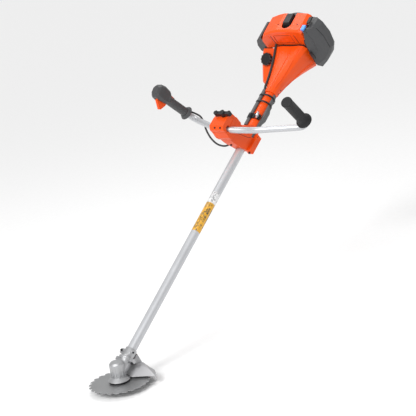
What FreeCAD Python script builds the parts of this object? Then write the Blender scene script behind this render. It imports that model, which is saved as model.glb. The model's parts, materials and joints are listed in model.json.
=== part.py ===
import FreeCAD, Part
import math
import os
import Sketcher
from FreeCAD import Placement, Rotation, Vector

# Brush cutter, standing as it hangs on its harness: saw blade level, shaft rising towards the engine.
# Origin: free end of the blade arbor. +Z up along the arbor, +X towards the engine, +Y to the throttle
# handle's side. Every shaft-borne piece is drawn in the shaft's own axes: x along the shaft from the
# point where it crosses the arbor, y sideways, z away from the ground side of the shaft.

SIZES = {
    # attitude and main axes
    "shaft_tilt": 37.0,
    "apex_height": 54.2,
    # arbor stack, heights above the arbor's free end
    "thread_radius": 5.0,
    "journal_radius": 6.0,
    "nut_base": 8.0,
    "end_radius": 4.2,
    "end_length": 7.0,
    "nut_top": 18.0,
    "blade_base": 22.0,
    "blade_top": 23.8,
    "blade_radius": 112.5,
    "blade_teeth": 24,
    "gullet_depth": 8.5,
    "blade_bore": 12.75,
    "disc_radius": 37.0,
    "disc_top": 29.5,
    "flange_radius": 27.0,
    # gear housing
    "skirt_radius": 39.5,
    "skirt_base": 31.5,
    "skirt_top": 46.0,
    "dome_radius": 27.5,
    "dome_shoulder": 94.0,
    "dome_top": 101.0,
    "neck_radius": 25.0,
    "neck_end": 58.0,
    "bearing_radius": 14.0,
    "bearing_width": 8.0,
    "running_gap": 0.05,
    # bevel pair
    "ring_teeth": 17,
    "pinion_teeth": 13,
    "tooth_module": 2.2,
    "face_width": 10.0,
    # shaft tube and drive shaft
    "tube_radius": 17.5,
    "tube_wall": 2.0,
    "tube_start": 66.0,
    "tube_end": 1440.0,
    "collar_radius": 21.5,
    "collar_end": 103.0,
    "drive_radius": 4.0,
    "drive_end": 1500.0,
    "bush_length": 22.0,
    # handlebar and its bracket
    "bar_radius": 12.5,
    "bar_wall": 1.5,
    "bar_station": 1025.0,
    "bar_offset": 141.0,
    "bar_lean": 2.2,
    "bar_bend": 34.0,
    "grip_radius": 22.0,
    "grip_length": 158.0,
    "bracket_seam": 1094.0,
    "bracket_end": 1139.0,
    # upper shaft
    "sleeve_radius": 21.5,
    "sleeve_end": 1330.0,
    "pad_radius": 28.0,
    "hose_radius": 7.5,
    "cable_radius": 3.75,
    "conduit_radius": 5.0,
    "eye_bore": 7.5,
    "eye_radius": 15.0,
    "eye_width": 8.0,
    # clutch cover and engine
    "funnel_start": 1314.0,
    "funnel_end": 1540.0,
    "funnel_radius": 27.0,
    "shell_wall": 3.0,
    "drum_radius": 31.5,
    "crank_station": 1600.0,
    "crank_radius": 7.5,
    "bore_radius": 22.0,
    "fin_radius": 44.0,
    "flywheel_radius": 48.0,
    "cap_radius": 25.0,
    "starter_radius": 91.0,
}

doc = FreeCAD.newDocument("brush_cutter")
sheet = doc.addObject("Spreadsheet::Sheet", "sizes")
for row, (alias, value) in enumerate(SIZES.items(), 1):
    sheet.set(f"A{row}", alias)
    sheet.set(f"B{row}", str(value))
    sheet.setAlias(f"B{row}", alias)
doc.recompute()


class Size:
    """A length that knows its number and the sheet expression it comes from."""

    def __init__(self, value, text=None):
        self.value = float(value)
        self.text = text if text else repr(float(value))

    def join(self, other, sign, value):
        other = as_size(other)
        return Size(value(self.value, other.value), f"({self.text} {sign} {other.text})")

    def __add__(self, other):
        return self.join(other, "+", lambda a, b: a + b)

    def __sub__(self, other):
        return self.join(other, "-", lambda a, b: a - b)

    def __mul__(self, other):
        return self.join(other, "*", lambda a, b: a * b)

    def __truediv__(self, other):
        return self.join(other, "/", lambda a, b: a / b)

    def __neg__(self):
        return Size(-self.value, f"(0 - {self.text})")


def as_size(value):
    return value if isinstance(value, Size) else Size(value)


def size(alias):
    return Size(sheet.get(alias), f"sizes.{alias}")


def number(alias):
    return float(sheet.get(alias))


APEX = Vector(0, 0, number("apex_height"))
ARBOR = Placement(Vector(0, 0, 0), Rotation(Vector(0, 1, 0), -90))
SHAFT = Placement(APEX, Rotation(Vector(0, 1, 0), -number("shaft_tilt")))
WORLD = Placement()

nodes = []


def finish(piece, name, frame=WORLD):
    """Names a finished piece, puts it in its place and lists it for export."""
    piece.Label = name
    piece.Placement = frame
    nodes.append(piece)
    return piece


def bind(piece, **sizes):
    for name, value in sizes.items():
        value = as_size(value)
        setattr(piece, name, value.value)
        if "sizes." in value.text:
            piece.setExpression(name, value.text)


# ---- PartDesign helpers ------------------------------------------------------------------------


def new_body(name):
    return doc.addObject("PartDesign::Body", name + "_body")


def new_sketch(body, plane, name):
    sketch = body.newObject("Sketcher::SketchObject", name)
    support = [item for item in body.Origin.OriginFeatures if item.Role == plane][0]
    sketch.AttachmentSupport = [(support, "")]
    sketch.MapMode = "FlatFace"
    return sketch


def draw_outline(sketch, points):
    """A closed outline whose every corner is bound to the sheet."""
    corners = [(as_size(x), as_size(y)) for x, y in points]
    first = sketch.GeometryCount
    for index, (x, y) in enumerate(corners):
        nx, ny = corners[(index + 1) % len(corners)]
        line = Part.LineSegment(Vector(x.value, y.value, 0), Vector(nx.value, ny.value, 0))
        sketch.addGeometry(line, False)
    for index in range(len(corners)):
        after = first + (index + 1) % len(corners)
        sketch.addConstraint(Sketcher.Constraint("Coincident", first + index, 2, after, 1))
    for index, corner in enumerate(corners):
        for kind, place in zip(("DistanceX", "DistanceY"), corner):
            rule = Sketcher.Constraint(kind, -1, 1, first + index, 1, place.value)
            key = sketch.addConstraint(rule)
            if "sizes." in place.text:
                sketch.setExpression(f"Constraints[{key}]", place.text)


def draw_circle(sketch, x, y, radius):
    x, y, radius = as_size(x), as_size(y), as_size(radius)
    circle = Part.Circle(Vector(x.value, y.value, 0), Vector(0, 0, 1), radius.value)
    index = sketch.addGeometry(circle, False)
    rules = (("DistanceX", x), ("DistanceY", y))
    for kind, place in rules:
        key = sketch.addConstraint(Sketcher.Constraint(kind, -1, 1, index, 3, place.value))
        if "sizes." in place.text:
            sketch.setExpression(f"Constraints[{key}]", place.text)
    key = sketch.addConstraint(Sketcher.Constraint("Radius", index, radius.value))
    if "sizes." in radius.text:
        sketch.setExpression(f"Constraints[{key}]", radius.text)


def turned(name, profile, frame, angle=360):
    """A turned piece: profile corners are (along the axis, radius)."""
    body = new_body(name)
    sketch = new_sketch(body, "XZ_Plane", name + "_profile")
    draw_outline(sketch, profile)
    spin = body.newObject("PartDesign::Revolution", name + "_turn")
    spin.Profile = sketch
    spin.ReferenceAxis = (sketch, ["H_Axis"])
    spin.Angle = angle
    return finish(body, name, frame)


def padded(name, outline, width, frame, holes=(), finished=True):
    """A plate of the given outline, padded evenly to both sides of its plane."""
    body = new_body(name)
    sketch = new_sketch(body, "XZ_Plane", name + "_outline")
    draw_outline(sketch, outline)
    for hole in holes:
        draw_circle(sketch, *hole)
    pad = body.newObject("PartDesign::Pad", name + "_pad")
    pad.Profile = sketch
    pad.SideType = "Symmetric"
    bind(pad, Length=width)
    return finish(body, name, frame) if finished else body


# ---- Part helpers ------------------------------------------------------------------------------


def box(low, high):
    """A box between two corners."""
    low = [as_size(v) for v in low]
    high = [as_size(v) for v in high]
    piece = doc.addObject("Part::Box", "block")
    bind(piece, Length=high[0] - low[0], Width=high[1] - low[1], Height=high[2] - low[2])
    piece.Placement.Base = Vector(*[v.value for v in low])
    return piece


AXIS_TURNS = {
    "x": Rotation(Vector(0, 1, 0), 90),
    "y": Rotation(Vector(1, 0, 0), -90),
    "z": Rotation(),
}


def rod(axis, start, end, radius, y=0.0, z=0.0):
    """A cylinder along one axis; y and z are its place on the other two, in axis order."""
    start, end = as_size(start), as_size(end)
    piece = doc.addObject("Part::Cylinder", "rod")
    bind(piece, Radius=radius, Height=end - start)
    base = {
        "x": Vector(start.value, y, z),
        "y": Vector(y, start.value, z),
        "z": Vector(y, z, start.value),
    }[axis]
    piece.Placement = Placement(base, AXIS_TURNS[axis])
    return piece


def cone(start, end, radius_start, radius_end, axis="x", y=0.0, z=0.0):
    start, end = as_size(start), as_size(end)
    piece = doc.addObject("Part::Cone", "cone")
    bind(piece, Radius1=radius_start, Radius2=radius_end, Height=end - start)
    base = {"x": Vector(start.value, y, z), "z": Vector(y, z, start.value)}[axis]
    piece.Placement = Placement(base, AXIS_TURNS[axis])
    return piece


def moved(piece, frame):
    """The same primitive, carried into another frame."""
    piece.Placement = frame.multiply(piece.Placement)
    return piece


def fuse(*pieces):
    joined = doc.addObject("Part::MultiFuse", "joined")
    joined.Shapes = list(pieces)
    joined.Refine = True
    return joined


def cut(base, *tools):
    for tool in tools:
        result = doc.addObject("Part::Cut", "trimmed")
        result.Base = base
        result.Tool = tool
        base = result
    return base


def solid(name, shape, frame=WORLD):
    """A piece whose form neither a sketch nor a primitive gives."""
    piece = doc.addObject("Part::Feature", name)
    piece.Shape = shape
    return finish(piece, name, frame)


def group(name, shapes, frame=WORLD):
    """Identical loose pieces kept as separate solids of one node."""
    return solid(name, Part.makeCompound(list(shapes)), frame)


def polygon(points):
    return Part.makePolygon(list(points) + [points[0]])


def prism(points, direction):
    return Part.Face(polygon(points)).extrude(direction)


def place_along(origin, axis, up=Vector(0, 0, 1)):
    """A frame at origin whose x runs along axis and whose z is as near to up as it can be."""
    return Placement(origin, Rotation(axis, Vector(0, 0, 0), up, "XZY"))


def rounded_path(points, radii):
    """Straight runs joined by tangent arcs."""
    edges = []
    last = points[0]
    for index in range(1, len(points) - 1):
        before, corner, after = points[index - 1], points[index], points[index + 1]
        come = (corner - before).normalize()
        leave = (after - corner).normalize()
        turn = come.getAngle(leave)
        reach = radii[index - 1] * math.tan(turn / 2)
        start = corner - come * reach
        end = corner + leave * reach
        bisector = (leave - come).normalize()
        middle = corner + bisector * (radii[index - 1] / math.cos(turn / 2) - radii[index - 1])
        edges.append(Part.LineSegment(last, start).toShape())
        edges.append(Part.Arc(start, middle, end).toShape())
        last = end
    edges.append(Part.LineSegment(last, points[-1]).toShape())
    return Part.Wire(edges)


def swept(path, radius):
    """A round bar along a path of straight runs and arcs."""
    start = path.Edges[0].firstVertex().Point
    along = path.Edges[0].tangentAt(path.Edges[0].FirstParameter)
    ring = Part.Wire(Part.makeCircle(radius, start, along))
    return path.makePipeShell([ring], True, False)


def cable_radii(points):
    """The largest arc each corner of a cable's route allows."""
    radii = []
    for index in range(1, len(points) - 1):
        runs = [points[index] - points[index - 1], points[index + 1] - points[index]]
        turn = runs[0].getAngle(runs[1])
        radii.append(0.45 * min(run.Length for run in runs) / math.tan(turn / 2))
    return radii


# ---- Cutter: arbor, blade and what clamps it ----------------------------------------------------


def build_arbor():
    thread = size("thread_radius")
    journal = size("journal_radius")
    profile = [
        (0, 0),
        (0, size("end_radius")),
        (size("end_length"), size("end_radius")),
        (size("end_length") + 0.8, thread),
        (size("disc_top") + 1, thread),
        (size("disc_top") + 1, journal),
        (43, journal),
        (43, 7.5),
        (73, 7.5),
        (73, 6.5),
        (89.5, 6.5),
        (89.5, journal),
        (98, journal),
        (98, 0),
    ]
    turned("arbor", profile, ARBOR)


def build_drive_disc():
    bore = size("thread_radius")
    rim = size("disc_radius")
    boss = size("blade_bore") - size("running_gap")
    base = size("blade_top")
    profile = [
        (size("blade_base"), bore),
        (size("blade_base"), boss),
        (base, boss),
        (base, rim - 1),
        (base + 1, rim),
        (base + 3.4, rim),
        (size("disc_top") - 1, rim - 3),
        (size("disc_top") - 1, 16),
        (size("disc_top") + 1, 15),
        (size("disc_top") + 1, bore),
    ]
    turned("drive_disc", profile, ARBOR)


def build_saw_blade():
    radius = number("blade_radius")
    teeth = int(number("blade_teeth"))
    body = new_body("saw_blade")
    sketch = new_sketch(body, "YZ_Plane", "blade_outline")
    draw_circle(sketch, 0, 0, size("blade_radius"))
    draw_circle(sketch, 0, 0, size("blade_bore"))
    pad = body.newObject("PartDesign::Pad", "blade_pad")
    pad.Profile = sketch
    bind(pad, Length=size("blade_top") - size("blade_base"))
    doc.recompute()
    # one gullet: a cut from the rim, steep on the cutting side and long and shallow behind it
    gullet = new_sketch(body, "YZ_Plane", "gullet_outline")
    depth = size("gullet_depth")
    pitch = 2 * math.pi * radius / teeth
    outline = [
        (2.0, size("blade_radius") + 4),
        (-1.0, size("blade_radius") - depth),
        (-6.5, size("blade_radius") - depth),
        (-12.0, size("blade_radius") - 3.4),
        (-pitch * 0.62, size("blade_radius") - 1),
        (-pitch * 0.7, size("blade_radius") + 4),
    ]
    draw_outline(gullet, outline)
    pocket = body.newObject("PartDesign::Pocket", "gullet_cut")
    pocket.Profile = gullet
    pocket.Type = "ThroughAll"
    pocket.SideType = "Symmetric"
    doc.recompute()
    pattern = body.newObject("PartDesign::PolarPattern", "tooth_ring")
    pattern.Originals = [pocket]
    pattern.Axis = (sketch, ["N_Axis"])
    pattern.Angle = 360
    pattern.setExpression("Occurrences", "sizes.blade_teeth")
    body.Tip = pattern
    finish(body, "saw_blade", ARBOR.multiply(Placement(Vector(number("blade_base"), 0, 0), Rotation())))


def build_blade_clamp():
    bore = size("thread_radius")
    rim = size("flange_radius")
    cup = [
        (size("nut_top"), bore),
        (size("nut_top"), 14),
        (size("nut_top") + 2, rim - 1),
        (size("blade_base"), rim),
        (size("blade_base"), 14),
        (size("blade_base") - 1, bore),
    ]
    turned("support_flange", cup, ARBOR)
    base, top = size("nut_base"), size("nut_top")
    across = 8.5
    hexagon = doc.addObject("Part::Prism", "nut_hex")
    hexagon.Polygon = 6
    bind(hexagon, Circumradius=across / math.cos(math.pi / 6), Height=top - base)
    hexagon.Placement = Placement(Vector(0, 0, base.value), Rotation())
    flange = rod("z", top - 2.5, top, 12.0)
    nut = cut(fuse(hexagon, flange), rod("z", base - 1, top + 1, bore))
    finish(nut, "blade_nut")


def bevel_gear(teeth, cone_angle, apex_distance, face, module):
    """Straight teeth that all run to the apex; the axis is x and the apex is the origin."""
    addendum = math.atan(0.9 * module / apex_distance)
    dedendum = math.atan(1.35 * module / apex_distance)
    corners = []
    for tooth in range(teeth):
        centre = 2 * math.pi * tooth / teeth
        shares = ((-0.34, -dedendum), (-0.13, addendum), (0.13, addendum), (0.34, -dedendum))
        for share, lift in shares:
            turn = centre + share * 2 * math.pi / teeth
            radius = math.tan(cone_angle + lift)
            corners.append(Vector(1, radius * math.sin(turn), radius * math.cos(turn)))
    outer = apex_distance * math.cos(cone_angle)
    inner = (apex_distance - face) * math.cos(cone_angle)
    rings = [polygon([corner * reach for corner in corners]) for reach in (inner, outer)]
    return Part.makeLoft(rings, True, True), inner, outer


def cone_angles():
    """Pitch cones of the ring and the pinion for the angle between arbor and shaft."""
    between = math.radians(90 - number("shaft_tilt"))
    ratio = number("ring_teeth") / number("pinion_teeth")
    pinion = math.atan(math.sin(between) / (ratio + math.cos(between)))
    return between - pinion, pinion


def build_gears():
    module = number("tooth_module")
    face = number("face_width")
    ring_angle, pinion_angle = cone_angles()
    distance = module * number("ring_teeth") / 2 / math.sin(ring_angle)
    # a ring tooth stands in a pinion gap where the cones touch
    teeth, inner, outer = bevel_gear(int(number("ring_teeth")), ring_angle, distance, face, module)
    hub_start, hub_end = 75.0 - APEX.z, 89.5 - APEX.z
    hub = Part.makeCylinder(9.5, hub_end - hub_start, Vector(hub_start, 0, 0), Vector(1, 0, 0))
    back = Part.makeCone(16.5, 12.0, hub_end - outer, Vector(outer, 0, 0), Vector(1, 0, 0))
    bore = Part.makeCylinder(6.5, 40, Vector(0, 0, 0), Vector(1, 0, 0))
    ring = teeth.fuse([hub, back]).cut(bore)
    ring.rotate(Vector(), Vector(1, 0, 0), 180)
    solid("ring_gear", ring, Placement(APEX, ARBOR.Rotation))
    teeth, inner, outer = bevel_gear(
        int(number("pinion_teeth")), pinion_angle, distance, face, module
    )
    stub = Part.makeCylinder(number("journal_radius"), 58 - outer, Vector(outer, 0, 0), Vector(1, 0, 0))
    shoulder = Part.makeCylinder(9.0, 40 - outer, Vector(outer, 0, 0), Vector(1, 0, 0))
    pinion = teeth.fuse([stub, shoulder])
    pinion.rotate(Vector(), Vector(1, 0, 0), 180.0 / number("pinion_teeth"))
    solid("pinion", pinion, SHAFT)


# ---- Gear housing, guard and shaft -------------------------------------------------------------


def socket_screw(head_radius, head_height, shank_radius, shank_length):
    """A socket-head screw: seat at the origin, head towards -x, shank towards +x."""
    axis = Vector(1, 0, 0)
    head = Part.makeCylinder(head_radius, head_height, Vector(-head_height, 0, 0), axis)
    shank = Part.makeCylinder(shank_radius, shank_length, Vector(), axis)
    across = head_radius * 0.55
    corners = []
    for step in range(6):
        turn = math.radians(60 * step)
        corners.append(Vector(-head_height, across * math.cos(turn), across * math.sin(turn)))
    socket = prism(corners, Vector(head_height * 0.55, 0, 0))
    return head.fuse(shank).cut(socket)


# every screw and pin, each in its final place
FASTENERS = []

# head radius, head height, shank radius, shank length
M5_SCREW = (4.3, 5.0, 2.5, 12.0)
M4_SCREW = (3.4, 3.0, 2.0, 9.0)
M3_SCREW = (2.8, 1.8, 1.5, 4.0)


def screw_at(dims, seat, direction):
    """Puts a screw in the shaft's axes and returns the room it needs."""
    seat, direction = Vector(*seat), Vector(*direction).normalize()
    screw = socket_screw(*dims)
    screw.Placement = SHAFT.multiply(place_along(seat, direction, Vector(0.3, 0.2, 1)))
    FASTENERS.append(screw)
    shank = Part.makeCylinder(dims[2] + 0.1, dims[3] + 1, seat, direction)
    head = Part.makeCylinder(dims[0] + 0.3, 12, seat, -direction)
    return shank.fuse(head)


def room(shape):
    """A cutting tool for a boolean of document objects."""
    piece = doc.addObject("Part::Feature", "room")
    piece.Shape = shape
    return piece


FLANGE_EARS = (38.0, -36.0)
CRANK_BEARINGS = (1562.0, 1620.0)
CRANK_BEARING_RADIUS = 17.5


def build_gear_housing():
    base, top = size("skirt_base"), size("skirt_top")
    dome = size("dome_radius")
    shoulder = size("dome_shoulder")
    outside = [
        cone(base + 2, top, size("skirt_radius"), dome - 2.5, "z"),
        rod("z", base, base + 2, size("skirt_radius")),
        cone(top, 72, dome - 2.5, dome, "z"),
        rod("z", 72, shoulder, dome),
        cone(shoulder, size("dome_top"), dome, dome - 6, "z"),
        moved(rod("x", 12, size("neck_end"), size("neck_radius")), SHAFT),
        moved(rod("x", size("neck_end") - 6, size("neck_end"), 29.0), SHAFT),
    ]
    ear_low, ear_high = FLANGE_EARS[1] - 7, FLANGE_EARS[0] + 7
    ears = box((size("neck_end") - 6, ear_low, -8), (size("neck_end"), ear_high, 8))
    outside.append(moved(ears, SHAFT))
    inside = [
        rod("z", base - 1, base + 3.5, 30.0),
        rod("z", base, 34, 9.0),
        rod("z", 34, 42, size("bearing_radius")),
        cone(42, 62, 12.0, 22.5, "z"),
        rod("z", 62, 90, 22.5),
        rod("z", 90, 98.2, size("bearing_radius")),
        moved(rod("x", 8, 40, 18.0), SHAFT),
        moved(rod("x", 40, size("neck_end") + 1, size("bearing_radius")), SHAFT),
    ]
    for ear in FLANGE_EARS:
        inside.append(moved(rod("x", size("neck_end") - 7, size("neck_end") + 1, 2.6, ear, 0), SHAFT))
        screw_at(M5_SCREW, (number("neck_end") - 6, ear, 0), (1, 0, 0))
    finish(cut(fuse(*outside), fuse(*inside)), "gear_housing")


def build_housing_clamp():
    start, end = size("neck_end"), size("collar_end")
    radius = size("collar_radius")
    ear_low, ear_high = FLANGE_EARS[1] - 7, FLANGE_EARS[0] + 7
    outside = [
        rod("x", start, start + 7, 29.0),
        cone(start + 7, start + 14, 25.0, radius),
        rod("x", start, end, radius),
        box((start, ear_low, -8), (start + 7, ear_high, 8)),
        box((78, 14, 2), (96, 35, 14)),
        rod("y", -26, -14, 6.5, 88, 10),
    ]
    inside = [
        rod("x", size("tube_start"), end + 1, size("tube_radius")),
        rod("x", start - 1, size("tube_start") + 1, size("bearing_radius")),
        box((74, 16.5, 7.2), (end + 1, 40, 8.8)),
        rod("z", 1, 15, 2.6, 87, 28),
        rod("y", -30, -12, 2.6, 88, 10),
    ]
    for ear in FLANGE_EARS:
        inside.append(rod("x", start - 1, start + 8, 2.6, ear, 0))
    screw_at(M5_SCREW, (87, 28, 14), (0, 0, -1))
    screw_at(M4_SCREW, (88, -26, 10), (0, 1, 0))
    finish(cut(fuse(*outside), *inside), "housing_clamp", SHAFT)


def bearing(start, outer, bore, width):
    """A shielded ball bearing as one ring with its two shield grooves."""
    axis = Vector(1, 0, 0)
    ring = Part.makeCylinder(outer, width, Vector(start, 0, 0), axis)
    ring = ring.cut(Part.makeCylinder(bore, width, Vector(start, 0, 0), axis))
    middle = (outer + bore) / 2
    groove = Part.makeCylinder(middle + 2, 0.6, Vector(), axis)
    groove = groove.cut(Part.makeCylinder(middle - 2, 0.6, Vector(), axis))
    for side in (start, start + width - 0.6):
        cutter = groove.copy()
        cutter.translate(Vector(side, 0, 0))
        ring = ring.cut(cutter)
    return ring


def build_bearings():
    """Every ball bearing of the machine: arbor, pinion, clutch drum and crankshaft."""
    gap = number("running_gap")
    width = number("bearing_width")
    outer = number("bearing_radius")
    journal = number("journal_radius") + gap
    rings = [bearing(34, outer, journal, width), bearing(90.1, outer, journal, width)]
    for ring in rings:
        ring.Placement = ARBOR
    for place in (41.0, 49.5, 1444.0, 1466.0):
        ring = bearing(place, outer, journal, width)
        ring.Placement = SHAFT
        rings.append(ring)
    for place in CRANK_BEARINGS:
        ring = bearing(place, CRANK_BEARING_RADIUS, number("crank_radius") + gap, 12)
        ring.Placement = SHAFT
        rings.append(ring)
    group("ball_bearings", rings)


def build_shaft():
    radius, wall = size("tube_radius"), size("tube_wall")
    inner = radius - wall
    start, end = size("tube_start"), size("tube_end")
    turned("shaft_tube", [(start, inner), (start, radius), (end, radius), (end, inner)], SHAFT)
    rod_radius = size("drive_radius")
    stop = size("drive_end")
    profile = [(58, 0), (58, rod_radius), (stop, rod_radius), (stop, 0)]
    turned("drive_shaft", profile, SHAFT)
    length = number("bush_length")
    bore = number("drive_radius") + number("running_gap")
    outer = number("tube_radius") - number("tube_wall")
    axis = Vector(1, 0, 0)
    bushes = []
    for step in range(5):
        place = Vector(150 + 300 * step, 0, 0)
        bush = Part.makeCylinder(outer, length, place, axis)
        bush = bush.cut(Part.makeCylinder(bore, length, place, axis))
        waist = Part.makeCylinder(outer, length - 12, place + Vector(6, 0, 0), axis)
        waist = waist.cut(Part.makeCylinder(outer - 3, length - 12, place + Vector(6, 0, 0), axis))
        bushes.append(bush.cut(waist))
    group("shaft_bushes", bushes, SHAFT)


def guard_hood(inset, floor, ceiling):
    """The guard's hood as a loft from its lower rim to its roof, about the arbor."""
    rim = 134.0 - inset
    lower = [Vector(36 + inset, 27 - inset, floor)]
    upper = [Vector(80 + inset, 46 - inset, ceiling)]
    for step in range(7):
        turn = math.radians(54 - 18 * step) * (1 - inset / 60)
        lower.append(Vector(rim * math.cos(turn), rim * math.sin(turn), floor))
        roof = 104.0 + 6 * math.cos(turn * 1.6) - inset
        turn *= 0.72
        upper.append(Vector(roof * math.cos(turn), roof * math.sin(turn), ceiling))
    lower.append(Vector(36 + inset, -27 + inset, floor))
    upper.append(Vector(80 + inset, -46 + inset, ceiling))
    return Part.makeLoft([polygon(lower), polygon(upper)], True, True)


def build_guard():
    blade = number("blade_top")
    rim = 134.0
    top = blade + 37
    outside = guard_hood(0, blade + 8, top)
    lip = []
    for radius, order in ((rim, 1), (rim - 3.5, -1)):
        turns = [math.radians(54 - 12 * step) for step in range(10)][::order]
        lip += [Vector(radius * math.cos(a), radius * math.sin(a), blade - 7) for a in turns]
    skirt = prism(lip, Vector(0, 0, 17))
    hollow = guard_hood(3.5, blade + 7, top - 3.5)
    guard = outside.fuse(skirt).cut(hollow)
    guard = guard.cut(Part.makeCylinder(42, 40, Vector(0, 0, blade + 5)))
    outline = [(64.5, 72.5), (94, 97.5), (110, top), (86, top)]
    arm = prism([Vector(x, -14, z) for x, z in outline], Vector(0, 28, 0))
    collar = Part.makeCylinder(number("collar_radius"), 60, Vector(56, 0, 0), Vector(1, 0, 0))
    flange = Part.makeCylinder(29.0, 7, Vector(58, 0, 0), Vector(1, 0, 0))
    taper = Part.makeCone(25.0, 21.5, 7, Vector(65, 0, 0), Vector(1, 0, 0))
    saddle = collar.fuse([flange, taper])
    saddle.Placement = SHAFT
    solid("blade_guard", guard.fuse(arm.cut(saddle)))


# ---- Handlebar ---------------------------------------------------------------------------------


def bar_frame():
    """Frame of the handlebar: x backwards, y sideways, z up, leaning a little to one side."""
    centre = SHAFT.multVec(Vector(number("bar_station"), 0, number("bar_offset")))
    return Placement(centre, Rotation(Vector(1, 0, 0), number("bar_lean")))


BAR_CORNER = Vector(171, 296, -18)
GRIP_RISE = Vector(-0.75, 0.11, 0.65).normalize()
GRIP_START = 46.0
# how far the bar runs into each handle
RIGHT_REACH = 144.0
LEFT_REACH = 120.0
# the control head and its levers are drawn from a point this far up the handle
HEAD_SHIFT = 28.0


def side_point(point, side):
    return Vector(point.x, point.y * side, point.z)


def grip_frame(side):
    """Frame of one handle: x up the grip from the bend, z towards the operator's thumb."""
    rise = side_point(GRIP_RISE, side)
    base = side_point(BAR_CORNER, side) + rise * GRIP_START
    back = Vector(0.65, 0, 0.75)
    return bar_frame().multiply(place_along(base, rise, back))


def head_frame():
    """Frame of the throttle handle's control head, which the levers turn in."""
    return grip_frame(1).multiply(Placement(Vector(HEAD_SHIFT, 0, 0), Rotation()))


def build_handlebar():
    half = [Vector(8, 48, -6), Vector(74, 110, -19), BAR_CORNER]
    left_tip = BAR_CORNER + GRIP_RISE * (GRIP_START + LEFT_REACH)
    right_tip = side_point(BAR_CORNER + GRIP_RISE * (GRIP_START + RIGHT_REACH), -1)
    route = [right_tip] + [side_point(point, -1) for point in reversed(half)] + half + [left_tip]
    bend = number("bar_bend")
    path = rounded_path(route, [bend, 90, 120, 120, 90, bend])
    outer = number("bar_radius")
    bar = swept(path, outer).cut(swept(path, outer - number("bar_wall")))
    solid("handlebar", bar, bar_frame())


def build_right_grip():
    radius = size("grip_radius")
    length = size("grip_length")
    bore = size("bar_radius")
    profile = [
        (0, bore),
        (0, 29),
        (2, 31),
        (7, 31),
        (12, 24.5),
        (20, radius - 1),
        (length - 12, radius - 1),
        (length - 8, radius),
        (length - 2, radius),
        (length, radius - 3),
        (length, 0),
        (RIGHT_REACH, 0),
        (RIGHT_REACH, bore),
    ]
    turned("right_grip", profile, grip_frame(-1))


def head_section(place, low, high, half, corner):
    """An eight-sided section of the control head."""
    points = [
        (half, low + corner),
        (half, high - corner),
        (half - corner, high),
        (corner - half, high),
        (-half, high - corner),
        (-half, low + corner),
        (corner - half, low),
        (half - corner, low),
    ]
    return polygon([Vector(place, y, z) for y, z in points])


# where the throttle cable leaves the handle's base, across the grip
CABLE_EXIT = (-3.0, 17.5)

HEAD_SECTIONS = (
    (88, -19, 19, 17, 8),
    (104, -24, 31, 21, 8),
    (135, -27, 36, 23.5, 9),
    (158, -24, 33, 22.5, 10),
    (168, -14, 22, 16, 8),
)


def build_left_handle():
    axis = Vector(1, 0, 0)
    start = -HEAD_SHIFT
    flange = Part.makeCone(24, 29, 4, Vector(start + 0.5, 0, 0), axis)
    flange = flange.fuse(Part.makeCone(29, 21, 12, Vector(start + 4.5, 0, 0), axis))
    grip = Part.makeCylinder(18.2, 88 + HEAD_SHIFT, Vector(start + 2, 0, 0), axis)
    head = Part.makeLoft([head_section(*row) for row in HEAD_SECTIONS], True, True)
    body = grip.fuse([flange, head])
    bore = Part.makeCylinder(number("bar_radius"), LEFT_REACH, Vector(start, 0, 0), axis)
    rows = [(x, low + 3, high - 3, half - 3, corner) for x, low, high, half, corner in HEAD_SECTIONS]
    rows[0] = (93, -14, 14, 13, 6)
    rows[-1] = (164, -11, 18, 13, 6)
    cavity = Part.makeLoft([head_section(*row) for row in rows], True, True)
    trigger_slot = Part.makeBox(56, 14, 30, Vector(92, -7, -44))
    lock_slot = Part.makeBox(44, 12, 16, Vector(62, -6, 12.6))
    switch_slot = Part.makeBox(26, 14, 14, Vector(124, -7, 26))
    cable_way = Part.makeCylinder(number("cable_radius"), 12, Vector(start, *CABLE_EXIT), axis)
    body = body.cut([bore, cavity, trigger_slot, lock_slot, switch_slot, cable_way])
    frame = head_frame()
    for name, side in (("handle_shell_outer", 1), ("handle_shell_inner", -1)):
        low = 0.1 if side > 0 else -60.1
        half = body.common(Part.makeBox(260, 60, 160, Vector(-40, low, -80)))
        for x, z, radius, reach in CONTROL_PINS:
            pin = Part.makeCylinder(radius, reach, Vector(x, -reach / 2, z), Vector(0, 1, 0))
            half = half.cut(pin)
        solid(name, half, frame)


# hinge pins of the controls: place along and across the grip, radius, length
CONTROL_PINS = ((138, -18, 1.5, 30), (69, 17, 1.0, 20), (137, 31, 1.0, 24))


def build_controls():
    """Throttle trigger, its lock and the stop switch, with the pins they turn on."""
    frame = head_frame()
    trigger = [
        (100, -12),
        (138, -14),
        (146, -22),
        (144, -30),
        (116, -56),
        (110, -54),
        (96, -30),
        (94, -20),
    ]
    padded("throttle_trigger", trigger, 12.6, frame, holes=[(138, -18, 1.55)])
    lock = [(66, 14.8), (66, 19.6), (92, 24), (100, 20.5), (103, 16), (101, 14.8)]
    padded("throttle_lock", lock, 10.8, frame, holes=[(69, 17, 1.05)])
    switch = [(126, 28), (125, 36.5), (137, 38.5), (149, 36.5), (148, 28), (137, 27)]
    padded("stop_switch", switch, 12.6, frame, holes=[(137, 31, 1.05)])
    for x, z, radius, reach in CONTROL_PINS:
        pin = Part.makeCylinder(radius, reach, Vector(x, -reach / 2, z), Vector(0, 1, 0))
        pin.Placement = frame
        FASTENERS.append(pin)


# ---- Handlebar bracket -------------------------------------------------------------------------

LUG_SCREW = (-25, -27)


def cable_channel():
    """Room for the hose and the throttle cable past the bracket, on the throttle side."""
    hose_y, hose_z = hose_place()
    along = rod("x", 1055, 1200, 5.0, hose_y, hose_z)
    side = box((1055, hose_y, hose_z - 7), (1096, 60, hose_z + 6))
    return fuse(along, side)


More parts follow.
